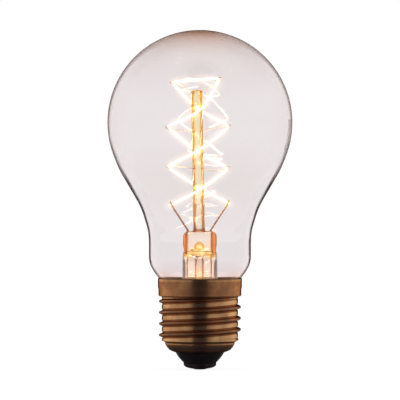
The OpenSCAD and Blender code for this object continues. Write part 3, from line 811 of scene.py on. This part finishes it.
def copper_path(*points):
    """Row of points with each inner corner bent."""
    points = [Vector(p) for p in points]
    result = [points[0]]
    for before, corner, after in zip(points, points[1:], points[2:]):
        a = corner + copper_bend * (before - corner).normalized()
        c = corner + copper_bend * (after - corner).normalized()
        result += [Vector(p) for p in bezier(a, corner, c, 5)]
    return result + [points[-1]]


def out_at(r, z):
    return r * cos(side_angle), r * sin(side_angle), z


def upright(z, step, count):
    """Row of points up the bulb's axis."""
    return [Vector((0, 0, z + step * i)) for i in range(count)]


centre_path = copper_path(
    (lead_x["left"], 0, seal_end_z), (lead_x["left"], 0, 23.78), (0, 0, fuse_top_z + 1.0),
    (0, 0, fuse_top_z))
side_path = copper_path(
    (lead_x["right"], 0, seal_end_z), (lead_x["right"], 0, under_z), out_at(stem_r, under_z),
    out_at(slot_r, under_z), out_at(slot_r, 26.19), out_at(out_r, notch_z),
    out_at(bead_mid_r, notch_z))
contact_path = upright(1.18, 1.1, 8) + [Vector((0, 0, fuse_end_z))]
new_piece(
    "centre_copper", wire(centre_path, copper_r, 12), copper, "copper_wire", "centre_lead_upper")
new_piece("side_copper", wire(side_path, copper_r, 12), copper, "copper_wire", "side_lead")
new_piece(
    "contact_copper", wire(contact_path, copper_r, 12), copper, "copper_wire",
    "centre_lead_lower")
fuse_metal, tree, shader = new_material("fuse_wire", Metallic=1.0, Roughness=0.25)
fuse_marks = marked(
    tree, 3000, Detail=2.0, Roughness=0.5, Low_Color=(0.62, 0.62, 0.64), High=0.8,
    High_Color=(0.42, 0.42, 0.44))
feed(shader, "Base Color", (fuse_marks, "Color"))
new_piece(
    "fuse_thread", wire(upright(fuse_end_z, 0.5, 9), fuse_radii, 10), fuse_metal, "fuse_wire",
    "fuse_link")

# ---- Glass envelope ----
# The blown bulb: a round crown, a cone-shaped shoulder, a short straight neck and a heel that
# narrows to the cap. Thin soft glass with a faint smoky warmth, with painted shade browning the
# top of its crown and its outline.
crown_r = 29.8
crown_z = 79.895
shoulder_angle = radians(29.7)
neck_r = 16.27
throat_r = 29.3
throat_z = 40.504
heel_r = 5.0
heel_z = 35.874
heel_angle = radians(30.6)
wall = 0.6
foot_r = 11.6
foot_bend_r = 1.5
foot_bend_z = 26.2
shoulder_swell = 0.42
heel_swell = 0.3
crown_sink = 0.3
envelope_sides = 240


def arc(centre, r, start, end, steps):
    return [
        (centre[0] + r * cos(start + (end - start) * i / steps),
         centre[1] + r * sin(start + (end - start) * i / steps))
        for i in range(steps + 1)
    ]


def stretch_between(a, b, steps):
    """Points between two others, without them."""
    return [
        (a[0] + (b[0] - a[0]) * i / steps, a[1] + (b[1] - a[1]) * i / steps)
        for i in range(1, steps)
    ]


def blown_out(r, z):
    """Blown glass isn't true to its arcs: the shoulder swells and the crown sinks a little."""
    full = smoothed((z - 44) / 5) * smoothed((69 - z) / 6) + 0.4 * smoothed((50 - z) / 6)
    full *= smoothed((z - rim_z - 4) / 3)
    heel = smoothed((z - rim_z) / 2) * smoothed((rim_z + 6 - z) / 3)
    swollen = r + shoulder_swell * full + heel_swell * heel
    return swollen, z - crown_sink * smoothed((z - 48) / 24)


def envelope_outline(depth):
    """Outline from the crown's top down to the foot, at a depth inside the outer face."""
    crown = arc((0, crown_z), crown_r - depth, pi / 2, -shoulder_angle, 160)
    throat = arc(
        (neck_r + throat_r, throat_z), throat_r + depth, pi - shoulder_angle, pi, 40)
    heel = arc((neck_r - heel_r, heel_z), heel_r - depth, 0, -heel_angle, 12)
    foot = arc(
        (foot_r + foot_bend_r, foot_bend_z), foot_bend_r + depth, pi - heel_angle, pi, 6)
    outline = crown + stretch_between(crown[-1], throat[0], 16) + throat
    outline += stretch_between(throat[-1], heel[0], 8) + heel
    outline += stretch_between(heel[-1], foot[0], 10)
    return [blown_out(r, z) for r, z in outline] + foot + [(foot_r - depth, foot_z + 0.01)]


blown_glass, tree, shader, apart = clear_glass("blown_glass", (0.45, 0.3, 0.3), 90.0)
height = apart, "Z"
# Painted shade: the outer face darkens and browns towards its outline, most at the neck, for the
# dark surroundings that the glass shows there; the heel's corner takes a peach shade.
turned_away = add(tree, "LayerWeight", Blend=0.5), "Facing"
crown_edge_shade = coloured(tree, turned_away, [
    (0.35, white), (0.66, (0.92, 0.89, 0.89)), (0.76, (0.86, 0.79, 0.78)),
    (0.86, (0.76, 0.58, 0.53)), (0.97, (0.56, 0.36, 0.3))])
neck_edge_shade = coloured(tree, turned_away, [
    (0.69, white), (0.75, (0.05, 0.03, 0.03)), (0.9, (0.03, 0.018, 0.018))])
heel_corner_shade = coloured(tree, turned_away, [(0.3, (1.0, 0.98, 0.97)), (0.55, (0.88, 0.67, 0.58))])
edge = mixed(tree, scaled(tree, height, 0.074, 0.06), crown_edge_shade, neck_edge_shade)
edge = mixed(tree, scaled(tree, height, 0.0337, 0.0303), edge, heel_corner_shade, "MULTIPLY")
inner_face = add(tree, "Attribute", attribute_name="inner_face")
edge = mixed(tree, (inner_face, "Fac"), edge, white)
# The painted shade at the top of the crown fades out downwards, with an uneven lower edge.
drifts = marked(tree, 45, Detail=2.0, Roughness=0.5), "Marks"
drifted = scaled(tree, maths(tree, "MULTIPLY_ADD", drifts, 0.002, height), 0.1, 0.1105)
tint_with_painted_crown_shade = coloured(tree, drifted, [
    (0.0, (0.95, 0.926, 0.926)), (0.3, (0.94, 0.905, 0.9)), (0.6, (0.915, 0.85, 0.825)),
    (0.82, (0.87, 0.74, 0.67)), (0.95, (0.62, 0.42, 0.31)), (1.0, (0.52, 0.28, 0.16))])
feed(shader, "Base Color", mixed(tree, 1.0, edge, tint_with_painted_crown_shade, "MULTIPLY"))
# A painted warm glow just above the rim, for the light that the brass throws on the glass.
feed(shader, "Emission Color", coloured(tree, scaled(tree, height, 0.0295, 0.0375), [
    (0.03, black), (0.06, (0.06, 0.03, 0.01)), (0.14, (0.02, 0.004, 0.0)),
    (0.3, (0.008, 0.0, 0.0)), (1.0, black)]))
outer = envelope_outline(0)
inner = envelope_outline(wall)
envelope = new_piece(
    "blown_envelope", lathe(inner[1:] + outer[::-1][:-1], envelope_sides), blown_glass,
    "clear_glass", "glass_envelope")
mark_inside(envelope, (len(inner) - 1) * envelope_sides)

# ---- Cement ----
# Baked marble-dust cement, which bonds the glass foot into the skirt of the cap. Its CAD solid is
# kept, with a gritty matt finish.
cement, tree, shader = new_material("baked_cement", Roughness=0.92, Specular_IOR_Level=0.2)
grit = marked(
    tree, 1400, Detail=8.0, Roughness=0.75, Low_Color=(0.42, 0.35, 0.27),
    High_Color=(0.68, 0.6, 0.49))
feed(shader, "Base Color", (grit, "Color"))
roughen(shader, (grit, "Marks"), 0.8, 0.0001)
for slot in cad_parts["cap_cement"].material_slots:
    slot.material = cement

# ---- Screw shell ----
# One brass sheet, drawn into a cup, rolled with the thread and spread into a skirt that was staked
# on to the glass at three points. An antique finish: brown patina in the grooves and on the skirt,
# rubbed bright on the thread's flats, with painted shade on the crests and down the cup and a
# painted highlight just below the lip.
skirt_r = 13.55
skirt_step = 0.18
step_z = 26.6
step_h = 0.9
shoulder_z = 23.5
thread_z = 9.26
root_r = 12.3
thread_rise = 0.9
thread_half_w = 0.85
thread_fade = 1.3
pitch = 3.629
groove = -0.25
groove_half_w = 0.42
cup_r = 11.23
cup_z = 5.55
cup_mouth_r = 7.9
cup_groove_z = thread_z - 0.45
lining_r = 11.8
shell_t = 0.28
# Directions of the staked dimples, seen from above, in degrees.
DIMPLES = [-28, -152, 90]
dimple_drop = 1.6
dimple_r = 0.34
dimple_depth = 0.17
shell_sides = 288
groove_patina_and_crest_shade = 0.62
skirt_tarnish = 0.42
painted_highlight_share = 0.1
lining_tarnish = 0.6
painted_highlight_h = 0.9
lip_h = 0.15


def thread_profile(d):
    """Rise of the thread's sheet above the flat band, d millimetres from a crest's middle."""
    d = abs(d)
    if d < thread_half_w:
        u = d / thread_half_w
        return thread_rise + (groove - thread_rise) * smoothed(u ** 1.6)
    return groove * (1 - smoothed((d - thread_half_w) / groove_half_w))


def thread_r(angle, z):
    turn_z = thread_z + pitch * angle / 360
    d = (z - turn_z + pitch / 2) % pitch - pitch / 2
    fade = max(0.0, min(1.0, (z - thread_z) / thread_fade, (shoulder_z - z) / thread_fade))
    return root_r + thread_profile(d) * smoothed(fade)


def plain_rows(outline):
    """Rows that are round all the way: a height and a radius that no angle changes."""
    return [(z, lambda angle, r=r: r) for r, z in outline]


def shell_rows():
    """Outer rows of the shell from the cup's mouth to the rim: a height and a radius by angle."""
    low_r = skirt_r - skirt_step
    low_z = shoulder_z + 0.02
    cup = bezier((cup_mouth_r, cup_z), (10.3, cup_z + 0.465), (cup_r, thread_z - 0.95), 12)
    cup += bezier((cup_r, thread_z - 0.9), (11.0, cup_groove_z), (12.05, thread_z - 0.1), 6)
    rows = plain_rows(cup)
    steps = 150
    for i in range(steps + 1):
        z = thread_z + (shoulder_z - thread_z) * i / steps
        rows.append((z, lambda angle, z=z: thread_r(angle, z)))
    skirt = bezier((12.34, low_z), (low_r, low_z), (low_r, 24.0), 8)[1:]
    skirt += [(low_r, z) for z in (24.5, 25.1, 25.6)]
    skirt += [
        (low_r + skirt_step * smoothed(i / 8), 25.7 + step_h * (i / 8)) for i in range(9)]
    skirt += [(skirt_r, step_z + (rim_z - 0.08 - step_z) * i / 11) for i in range(1, 12)]
    skirt += [(skirt_r - 0.04, rim_z - 0.02), (skirt_r - 0.12, rim_z)]
    return rows + plain_rows(skirt)


def dimple(angle, z):
    """Depth of the staked dimples at a point of the skirt."""
    depth = 0.0
    for d in DIMPLES:
        across = radians((angle - d + 180) % 360 - 180) * skirt_r
        distance = hypot(across, z - (rim_z - dimple_drop))
        depth = max(depth, dimple_depth * exp(-(distance / dimple_r) ** 2))
    return depth


def patina_and_shade(r, z, dented):
    """How dark a point of the shell is, from 0 on the rubbed flats to 1, with patina and painted
    shade.
    """
    share = 0.0
    if z < thread_z:
        # Below the thread: painted shade that deepens down the cup, and patina in its groove.
        share = max(smoothed((8.7 - z) / 1.2), 1 - abs(z - cup_groove_z) / 0.5)
    elif z <= shoulder_z + 0.3:
        # In the thread: patina in the grooves, painted shade on the crests, and a dark line at the
        # shoulder.
        share = max(
            min(groove_patina_and_crest_shade, (root_r - 0.08 - r) / 0.16),
            groove_patina_and_crest_shade * smoothed((r - root_r - 0.05) / 0.3),
            0.9 - abs(z - shoulder_z) / 0.5)
    if z > shoulder_z + 0.1:
        share = max(share, 1.0 if z > rim_z - lip_h else skirt_tarnish)
        # A painted highlight band just below the darkest lip.
        if rim_z - painted_highlight_h < z < rim_z - lip_h:
            share = painted_highlight_share
    return max(0.0, min(1.0, max(share, dented / 0.1)))


shell_rings = []
patina_and_shade_shares = []
for z, radius in shell_rows():
    ring = []
    for k in range(shell_sides):
        angle = 360 * k / shell_sides
        dented = dimple(angle, z)
        r = radius(angle) - dented
        ring.append((r * cos(radians(angle)), r * sin(radians(angle)), z))
        patina_and_shade_shares.append(patina_and_shade(r, z, dented))
    shell_rings.append(ring)
skirt_inside_r = skirt_r - shell_t
lining = [
    (skirt_inside_r, rim_z), (skirt_inside_r, rim_z - 0.5), (skirt_inside_r, step_z),
    (skirt_inside_r - skirt_step, step_z - 0.5), (skirt_inside_r - skirt_step, 23.8),
    (lining_r, 23.78), (lining_r, 20.0), (lining_r, 15.0), (lining_r, 10.0), (cup_r - 0.4, 8.7),
    (cup_r - 0.55, 7.5), (9.9, 6.3), (cup_mouth_r, cup_z + shell_t),
]
for r, z in lining:
    shell_rings.append(circle(r, z, shell_sides))
    patina_and_shade_shares += [lining_tarnish] * shell_sides


def antique_finish():
    """Node group for old metal: mottled patina and painted shade, and a fine satin grain."""
    group, given, result = new_group("antique_finish", {
        "Bright": (0.62, 0.42, 0.23, 1), "Worn": (0.4, 0.2, 0.1, 1),
        "Tarnished": (0.2, 0.1, 0.05, 1), "Hollow": 0.0, "Mottle Scale": 260.0, "Mottle": 0.35,
        "Grain Scale": 5000.0, "Satin": 0.25},
        {"Color": "Color", "Roughness": "Float", "Height": "Float"})
    place = add(group, "TexCoord"), "Object"
    mottle = add(group, "TexNoise", Vector=place, Scale=(given, "Mottle Scale"), Detail=5.0,
                 Roughness=0.62)
    grain = add(group, "TexNoise", Vector=place, Scale=(given, "Grain Scale"), Detail=3.0,
                Roughness=0.8)
    patches = scaled(group, (mottle, "Fac"), 0.35, 0.68)
    amount = maths(group, "MULTIPLY", patches, (given, "Mottle"))
    dark = maths(group, "MULTIPLY_ADD", (given, "Hollow"), 0.85, amount)
    total = maths(group, "ADD", dark, scaled(group, (grain, "Fac"), 0.3, 0.75, -0.1, 0.16))
    total[0].use_clamp = True
    worn = mixed(group, scaled(group, total, 0.0, 0.5), (given, "Bright"), (given, "Worn"))
    colour = mixed(group, scaled(group, total, 0.5, 1.0), worn, (given, "Tarnished"))
    feed(result, "Color", colour)
    feed(result, "Roughness", maths(group, "MULTIPLY_ADD", total, 0.3, (given, "Satin")))
    feed(result, "Height", (grain, "Fac"))
    return group


finish_group = antique_finish()


def antique_metal(name, bright, worn, tarnished, **values):
    """Metal with the antique finish. values go to the group's own inputs."""
    material, tree, shader = new_material(name, Metallic=1.0, Specular_Tint=(0.55, 0.45, 0.4))
    hollow = add(tree, "Attribute", attribute_name="hollow")
    finish = add(tree, "Group", node_tree=finish_group, Bright=bright, Worn=worn,
                 Tarnished=tarnished, Hollow=(hollow, "Fac"), **values)
    turned_away = add(tree, "LayerWeight", Blend=0.5), "Facing"
    # Painted shade: the colour darkens towards the outline.
    painted_edge_shade = coloured(tree, turned_away, [(0.72, white), (0.86, (0.5, 0.43, 0.4))])
    feed(shader, "Base Color", mixed(tree, 1.0, (finish, "Color"), painted_edge_shade, "MULTIPLY"))
    feed(shader, "Roughness", (finish, "Roughness"))
    roughen(shader, (finish, "Height"), 0.2, 0.00002)
    return material


antique_brass = antique_metal(
    "antique_brass", (0.84, 0.49, 0.24), (0.46, 0.2, 0.085), (0.22, 0.145, 0.11), Satin=0.12)
shell = new_piece(
    "brass_shell", skin(shell_rings, loop=True), antique_brass, "cap_brass", "screw_shell")
mark(shell, "hollow", patina_and_shade_shares)

# ---- Insulator ----
# Dark glass, melted and pressed into the bottom of the brass cup, where it holds the centre
# contact's eyelet. It narrows to the contact and stands a little proud of the brass.
eyelet_hole_r = 1.62
insulator_tip_z = 1.9
insulator_tip_r = 5.15
insulator_top_z = 8.31
insulator_glass, tree, shader = new_material(
    "insulator_glass", Roughness=0.3, IOR=1.5, Specular_IOR_Level=0.14)
flow = marked(
    tree, 320, Roughness=0.55, Low_Color=(0.019, 0.0135, 0.017), High=0.75,
    High_Color=(0.03, 0.022, 0.028), Glossy=0.16, Dull=0.36)
feed(shader, "Base Color", (flow, "Color"))
feed(shader, "Roughness", (flow, "Gloss"))
roughen(shader, (flow, "Marks"), 0.35, 0.0001)
insulator_profile = [
    (eyelet_hole_r, insulator_top_z), (eyelet_hole_r, 5.0), (eyelet_hole_r, insulator_tip_z),
    (3.0, insulator_tip_z), (insulator_tip_r, insulator_tip_z), (5.27, 1.95)]
insulator_profile += bezier((5.3, 2.25), (6.9, 3.72), (7.88, 5.52), 12) + [(cup_mouth_r, 5.8)]
insulator_profile += bezier((8.2, 5.84), (10.0, 6.3), (10.92, 8.2), 8)
insulator_profile += [(10.9, insulator_top_z), (6.0, insulator_top_z)]
new_piece(
    "pressed_insulator", lathe(insulator_profile, 128, loop=True), insulator_glass,
    "insulator_glass", "cap_insulator")

# ---- Centre contact ----
# A thin domed plate of tinned brass with an eyelet riveted up through the insulator. The centre
# lead comes down through it and is soldered at its tip.
eyelet_r = 1.6
eyelet_bore_r = 1.2
eyelet_top_z = 4.2
solder_edge = (2.1, 0.2)
contact_metal = antique_metal(
    "contact_metal", (0.6, 0.53, 0.52), (0.28, 0.22, 0.22), (0.1, 0.075, 0.08),
    Mottle_Scale=700.0, Mottle=0.3, Satin=0.42)
contact_profile = [
    (eyelet_bore_r, eyelet_top_z), (eyelet_r, eyelet_top_z), (eyelet_r, 1.92),
    (insulator_tip_r, insulator_tip_z), (5.25, 1.82)]
contact_profile += bezier((5.25, 1.45), (4.9, 0.5), solder_edge, 10) + [(eyelet_bore_r, 0.3)]
contact = new_piece(
    "domed_contact", lathe(contact_profile[::-1], 96, loop=True), contact_metal,
    "contact_metal", "centre_contact")
# Painted light and shade: the contact is lighter at its tip and darker up towards the insulator.
mark(contact, "hollow", [smoothed(v.co.z / MM / 1.5) for v in contact.data.vertices])

# ---- Solder ----
# Soft solder: a flat dome that fills the eyelet round the centre lead's end, and a bead on the
# skirt where the side lead comes out at the back.
bead_r = 1.27
bead_rise = 1.15
bead_sides = 40
solder, tree, shader = new_material("soft_solder", Metallic=1.0, Roughness=0.4)
crystals = marked(
    tree, 1600, Detail=5.0, Low_Color=(0.32, 0.31, 0.31), High_Color=(0.6, 0.59, 0.58),
    Glossy=0.3, Dull=0.55)
feed(shader, "Base Color", (crystals, "Color"))
feed(shader, "Roughness", (crystals, "Gloss"))
roughen(shader, (crystals, "Marks"), 0.4, 0.00008)
tip_profile = [(0.0, 0.0), (0.7, 0.0)] + bezier((1.4, 0.0), (1.92, 0.04), solder_edge, 8)
tip_profile += [(eyelet_bore_r, 0.42), (eyelet_bore_r, 2.7), (0.6, 2.75), (0.0, 2.7)]
new_piece("tip_solder", lathe(tip_profile, 96), solder, "solder", "centre_solder")


def bead_point(i, k):
    """Point of the lumpy bead, i levels up its dome and k steps round it."""
    lift = pi / 2 * i / 16
    around = tau * k / bead_sides
    lump = 1 + 0.07 * noise.noise(Vector((cos(around) * 1.4, sin(around) * 1.4, i / 7)))
    reach = bead_r * cos(lift) * lump
    side, up = reach * cos(around), min(reach * sin(around), rim_z - 0.02 - notch_z)
    out = sqrt(max(0.0, (skirt_r - 0.06) ** 2 - side * side)) + bead_rise * sin(lift) * lump
    return (out * cos(side_angle) - side * sin(side_angle),
            out * sin(side_angle) + side * cos(side_angle), notch_z + up)


bead_rings = [[bead_point(i, k) for k in range(bead_sides)] for i in range(17)]
new_piece("side_bead", skin(bead_rings), solder, "solder", "side_solder")

# ---- Set, lamps and camera ----
# A plain pale table and a white surround, as in the photograph. Mirrored light meets walls that
# are bright behind and at the sides, dim behind the camera and brown overhead, so that the brass
# darkens down its middle and the glass at its edges.
table_half_w = 3000
table_grey = (0.2, 0.2, 0.2)
board_reach = 250
BOARDS = [
    (-1, 0.2, 62.0, 148), (-1, 98.0, 170.0, 148), (1, 0.2, 32.0, 148), (1, 32.0, 90.0, 138)]
SOFT_BOXES = {
    "soft_box_left": (-0.5, -0.1, 0.35),
    "soft_box_right": (0.5, -0.1, 0.35),
}


def studio_walls():
    """Node group for the walls' brightness by direction, and the share that is overhead."""
    group, given, result = new_group(
        "studio_walls", {"Direction": (0.0, 0.0, 1.0)}, {"Walls": "Color", "Overhead": "Float"})
    level = add(group, "VectorMath", operation="NORMALIZE", Vector=(given, "Direction"))
    axes = add(group, "SeparateXYZ", Vector=(level, "Vector"))
    ahead = maths(group, "MULTIPLY", (axes, "Y"), -1.0)
    either_side = maths(group, "ABSOLUTE", maths(group, "ARCTAN2", (axes, "X"), ahead))
    feed(result, "Walls", coloured(group, maths(group, "DIVIDE", either_side, pi), [
        (0.0, (0.012, 0.018, 0.032)), (0.095, (0.014, 0.02, 0.034)), (0.135, (0.17, 0.165, 0.17)),
        (0.18, (0.29, 0.28, 0.28)), (0.38, (0.37, 0.36, 0.35)), (0.54, (0.57, 0.55, 0.54)),
        (0.7, (0.88, 0.86, 0.85)), (0.84, (0.9, 0.87, 0.86)), (0.875, (0.06, 0.03, 0.02))],
        "LINEAR"))
    feed(result, "Overhead", scaled(group, (axes, "Z"), 0.35, 0.8))
    return group


walls_group = studio_walls()
# The table shows white to the camera and through glass. In a mirror image it carries a painted
# shade close to the bulb and is as bright as the walls further out, and its own grey is darkened
# with painted shade where they are dark.
table_white, tree, shader = new_material(
    "table_white", Base_Color=table_grey, Roughness=1.0, Specular_IOR_Level=0.0)
spot = add(tree, "NewGeometry"), "Position"
path = add(tree, "LightPath")
mirrored = path, "Is Glossy Ray"
walls = add(tree, "Group", node_tree=walls_group, Direction=spot), "Walls"
distance = add(tree, "VectorMath", operation="LENGTH", Vector=spot), "Value"
walls_with_painted_foot_shade = mixed(tree, scaled(tree, distance, 0.012, 0.055), (0.02, 0.016, 0.02), walls)
grey_with_painted_shade = mixed(tree, scaled(tree, walls, 0.02, 0.15), (0.07, 0.07, 0.09), table_grey)
feed(shader, "Base Color", mixed(tree, mirrored, table_grey, grey_with_painted_shade))
reflected = mixed(tree, mirrored, black, walls_with_painted_foot_shade)
straight = maths(tree, "MAXIMUM", (path, "Is Camera Ray"), (path, "Is Transmission Ray"))
table_light = add(
    tree, "Emission", Strength=0.9, Color=mixed(tree, straight, reflected, white))
both = add(tree, "AddShader")
feed(both, 0, (shader, "BSDF"))
feed(both, 1, (table_light, "Emission"))
feed(tree.nodes["Material Output"], "Surface", (both, "Shader"))
corners = [(x * table_half_w, y * table_half_w, 0) for x, y in ((-1, -1), (1, -1), (1, 1), (-1, 1))]
floor = new_object("pale_table", new_mesh("pale_table", corners, [(0, 1, 2, 3)], table_white))

# The surround is white to the camera, and brown overhead to glass and metal.
world = bpy.data.worlds.new("white_surround")
bpy.context.scene.world = world
world.use_nodes = True
tree = world.node_tree
direction = add(tree, "TexCoord")
path = add(tree, "LightPath")
walls = add(tree, "Group", node_tree=walls_group, Direction=(direction, "Generated"))
above = mixed(tree, (path, "Is Singular Ray"), (walls, "Walls"), (0.12, 0.075, 0.055))
mirrored = mixed(tree, (walls, "Overhead"), (walls, "Walls"), above)
through = mixed(tree, (walls, "Overhead"), white, (0.4, 0.25, 0.14))
shown = mixed(tree, (path, "Is Glossy Ray"), (0.55, 0.54, 0.54), mirrored)
shown = mixed(tree, (path, "Is Transmission Ray"), shown, through)
shown = mixed(tree, (path, "Is Camera Ray"), shown, white)
feed(tree.nodes["Background"], "Color", shown)

# Dark boards behind the bulb, which only mirrored light meets: they draw the crisp dark outlines
# of the neck and the brass. Each has its side, its lowest and highest edge in millimetres, and
# the angle from the front, in degrees, at which it starts. All end straight behind the bulb.
board_paint, tree, shader = new_material(
    "board_paint", Base_Color=(0.05, 0.02, 0.012), Roughness=1.0, Specular_IOR_Level=0.0)
for side, low_z, high_z, start in BOARDS:
    points = []
    for i in range(13):
        a = radians(start + (180 - start) * i / 12)
        x, y = side * board_reach * sin(a), -board_reach * cos(a)
        points += [(x, y, low_z), (x, y, high_z)]
    faces = [(2 * i, 2 * i + 1, 2 * i + 3, 2 * i + 2) for i in range(12)]
    board = new_object("dark_board", new_mesh("dark_board", points, faces, board_paint))
    board.visible_camera = False
    board.visible_transmission = False
    board.visible_diffuse = False
    board.visible_shadow = False

for name, spot in SOFT_BOXES.items():
    lamp = bpy.data.lights.new(name, "AREA")
    lamp.shape = "RECTANGLE"
    lamp.size = 0.3
    lamp.size_y = 0.5
    lamp.energy = 0.6
    box = new_object(name, lamp)
    box.location = spot
    box.rotation_euler = (Vector((0, 0, 0.05)) - Vector(spot)).to_track_quat("-Z", "Y").to_euler()
    box.visible_camera = False
    box.visible_transmission = False
    box.visible_glossy = False

camera_data = bpy.data.cameras.new("camera")
camera_data.sensor_width = 36
camera_data.lens = 279.0
camera_data.clip_end = 20
camera = new_object("camera", camera_data)
camera.location = (0.00003, -1.0, 0.0546)
camera.rotation_euler = (radians(90), 0, 0)
bpy.context.scene.camera = camera
bpy.context.scene.view_settings.view_transform = "Standard"
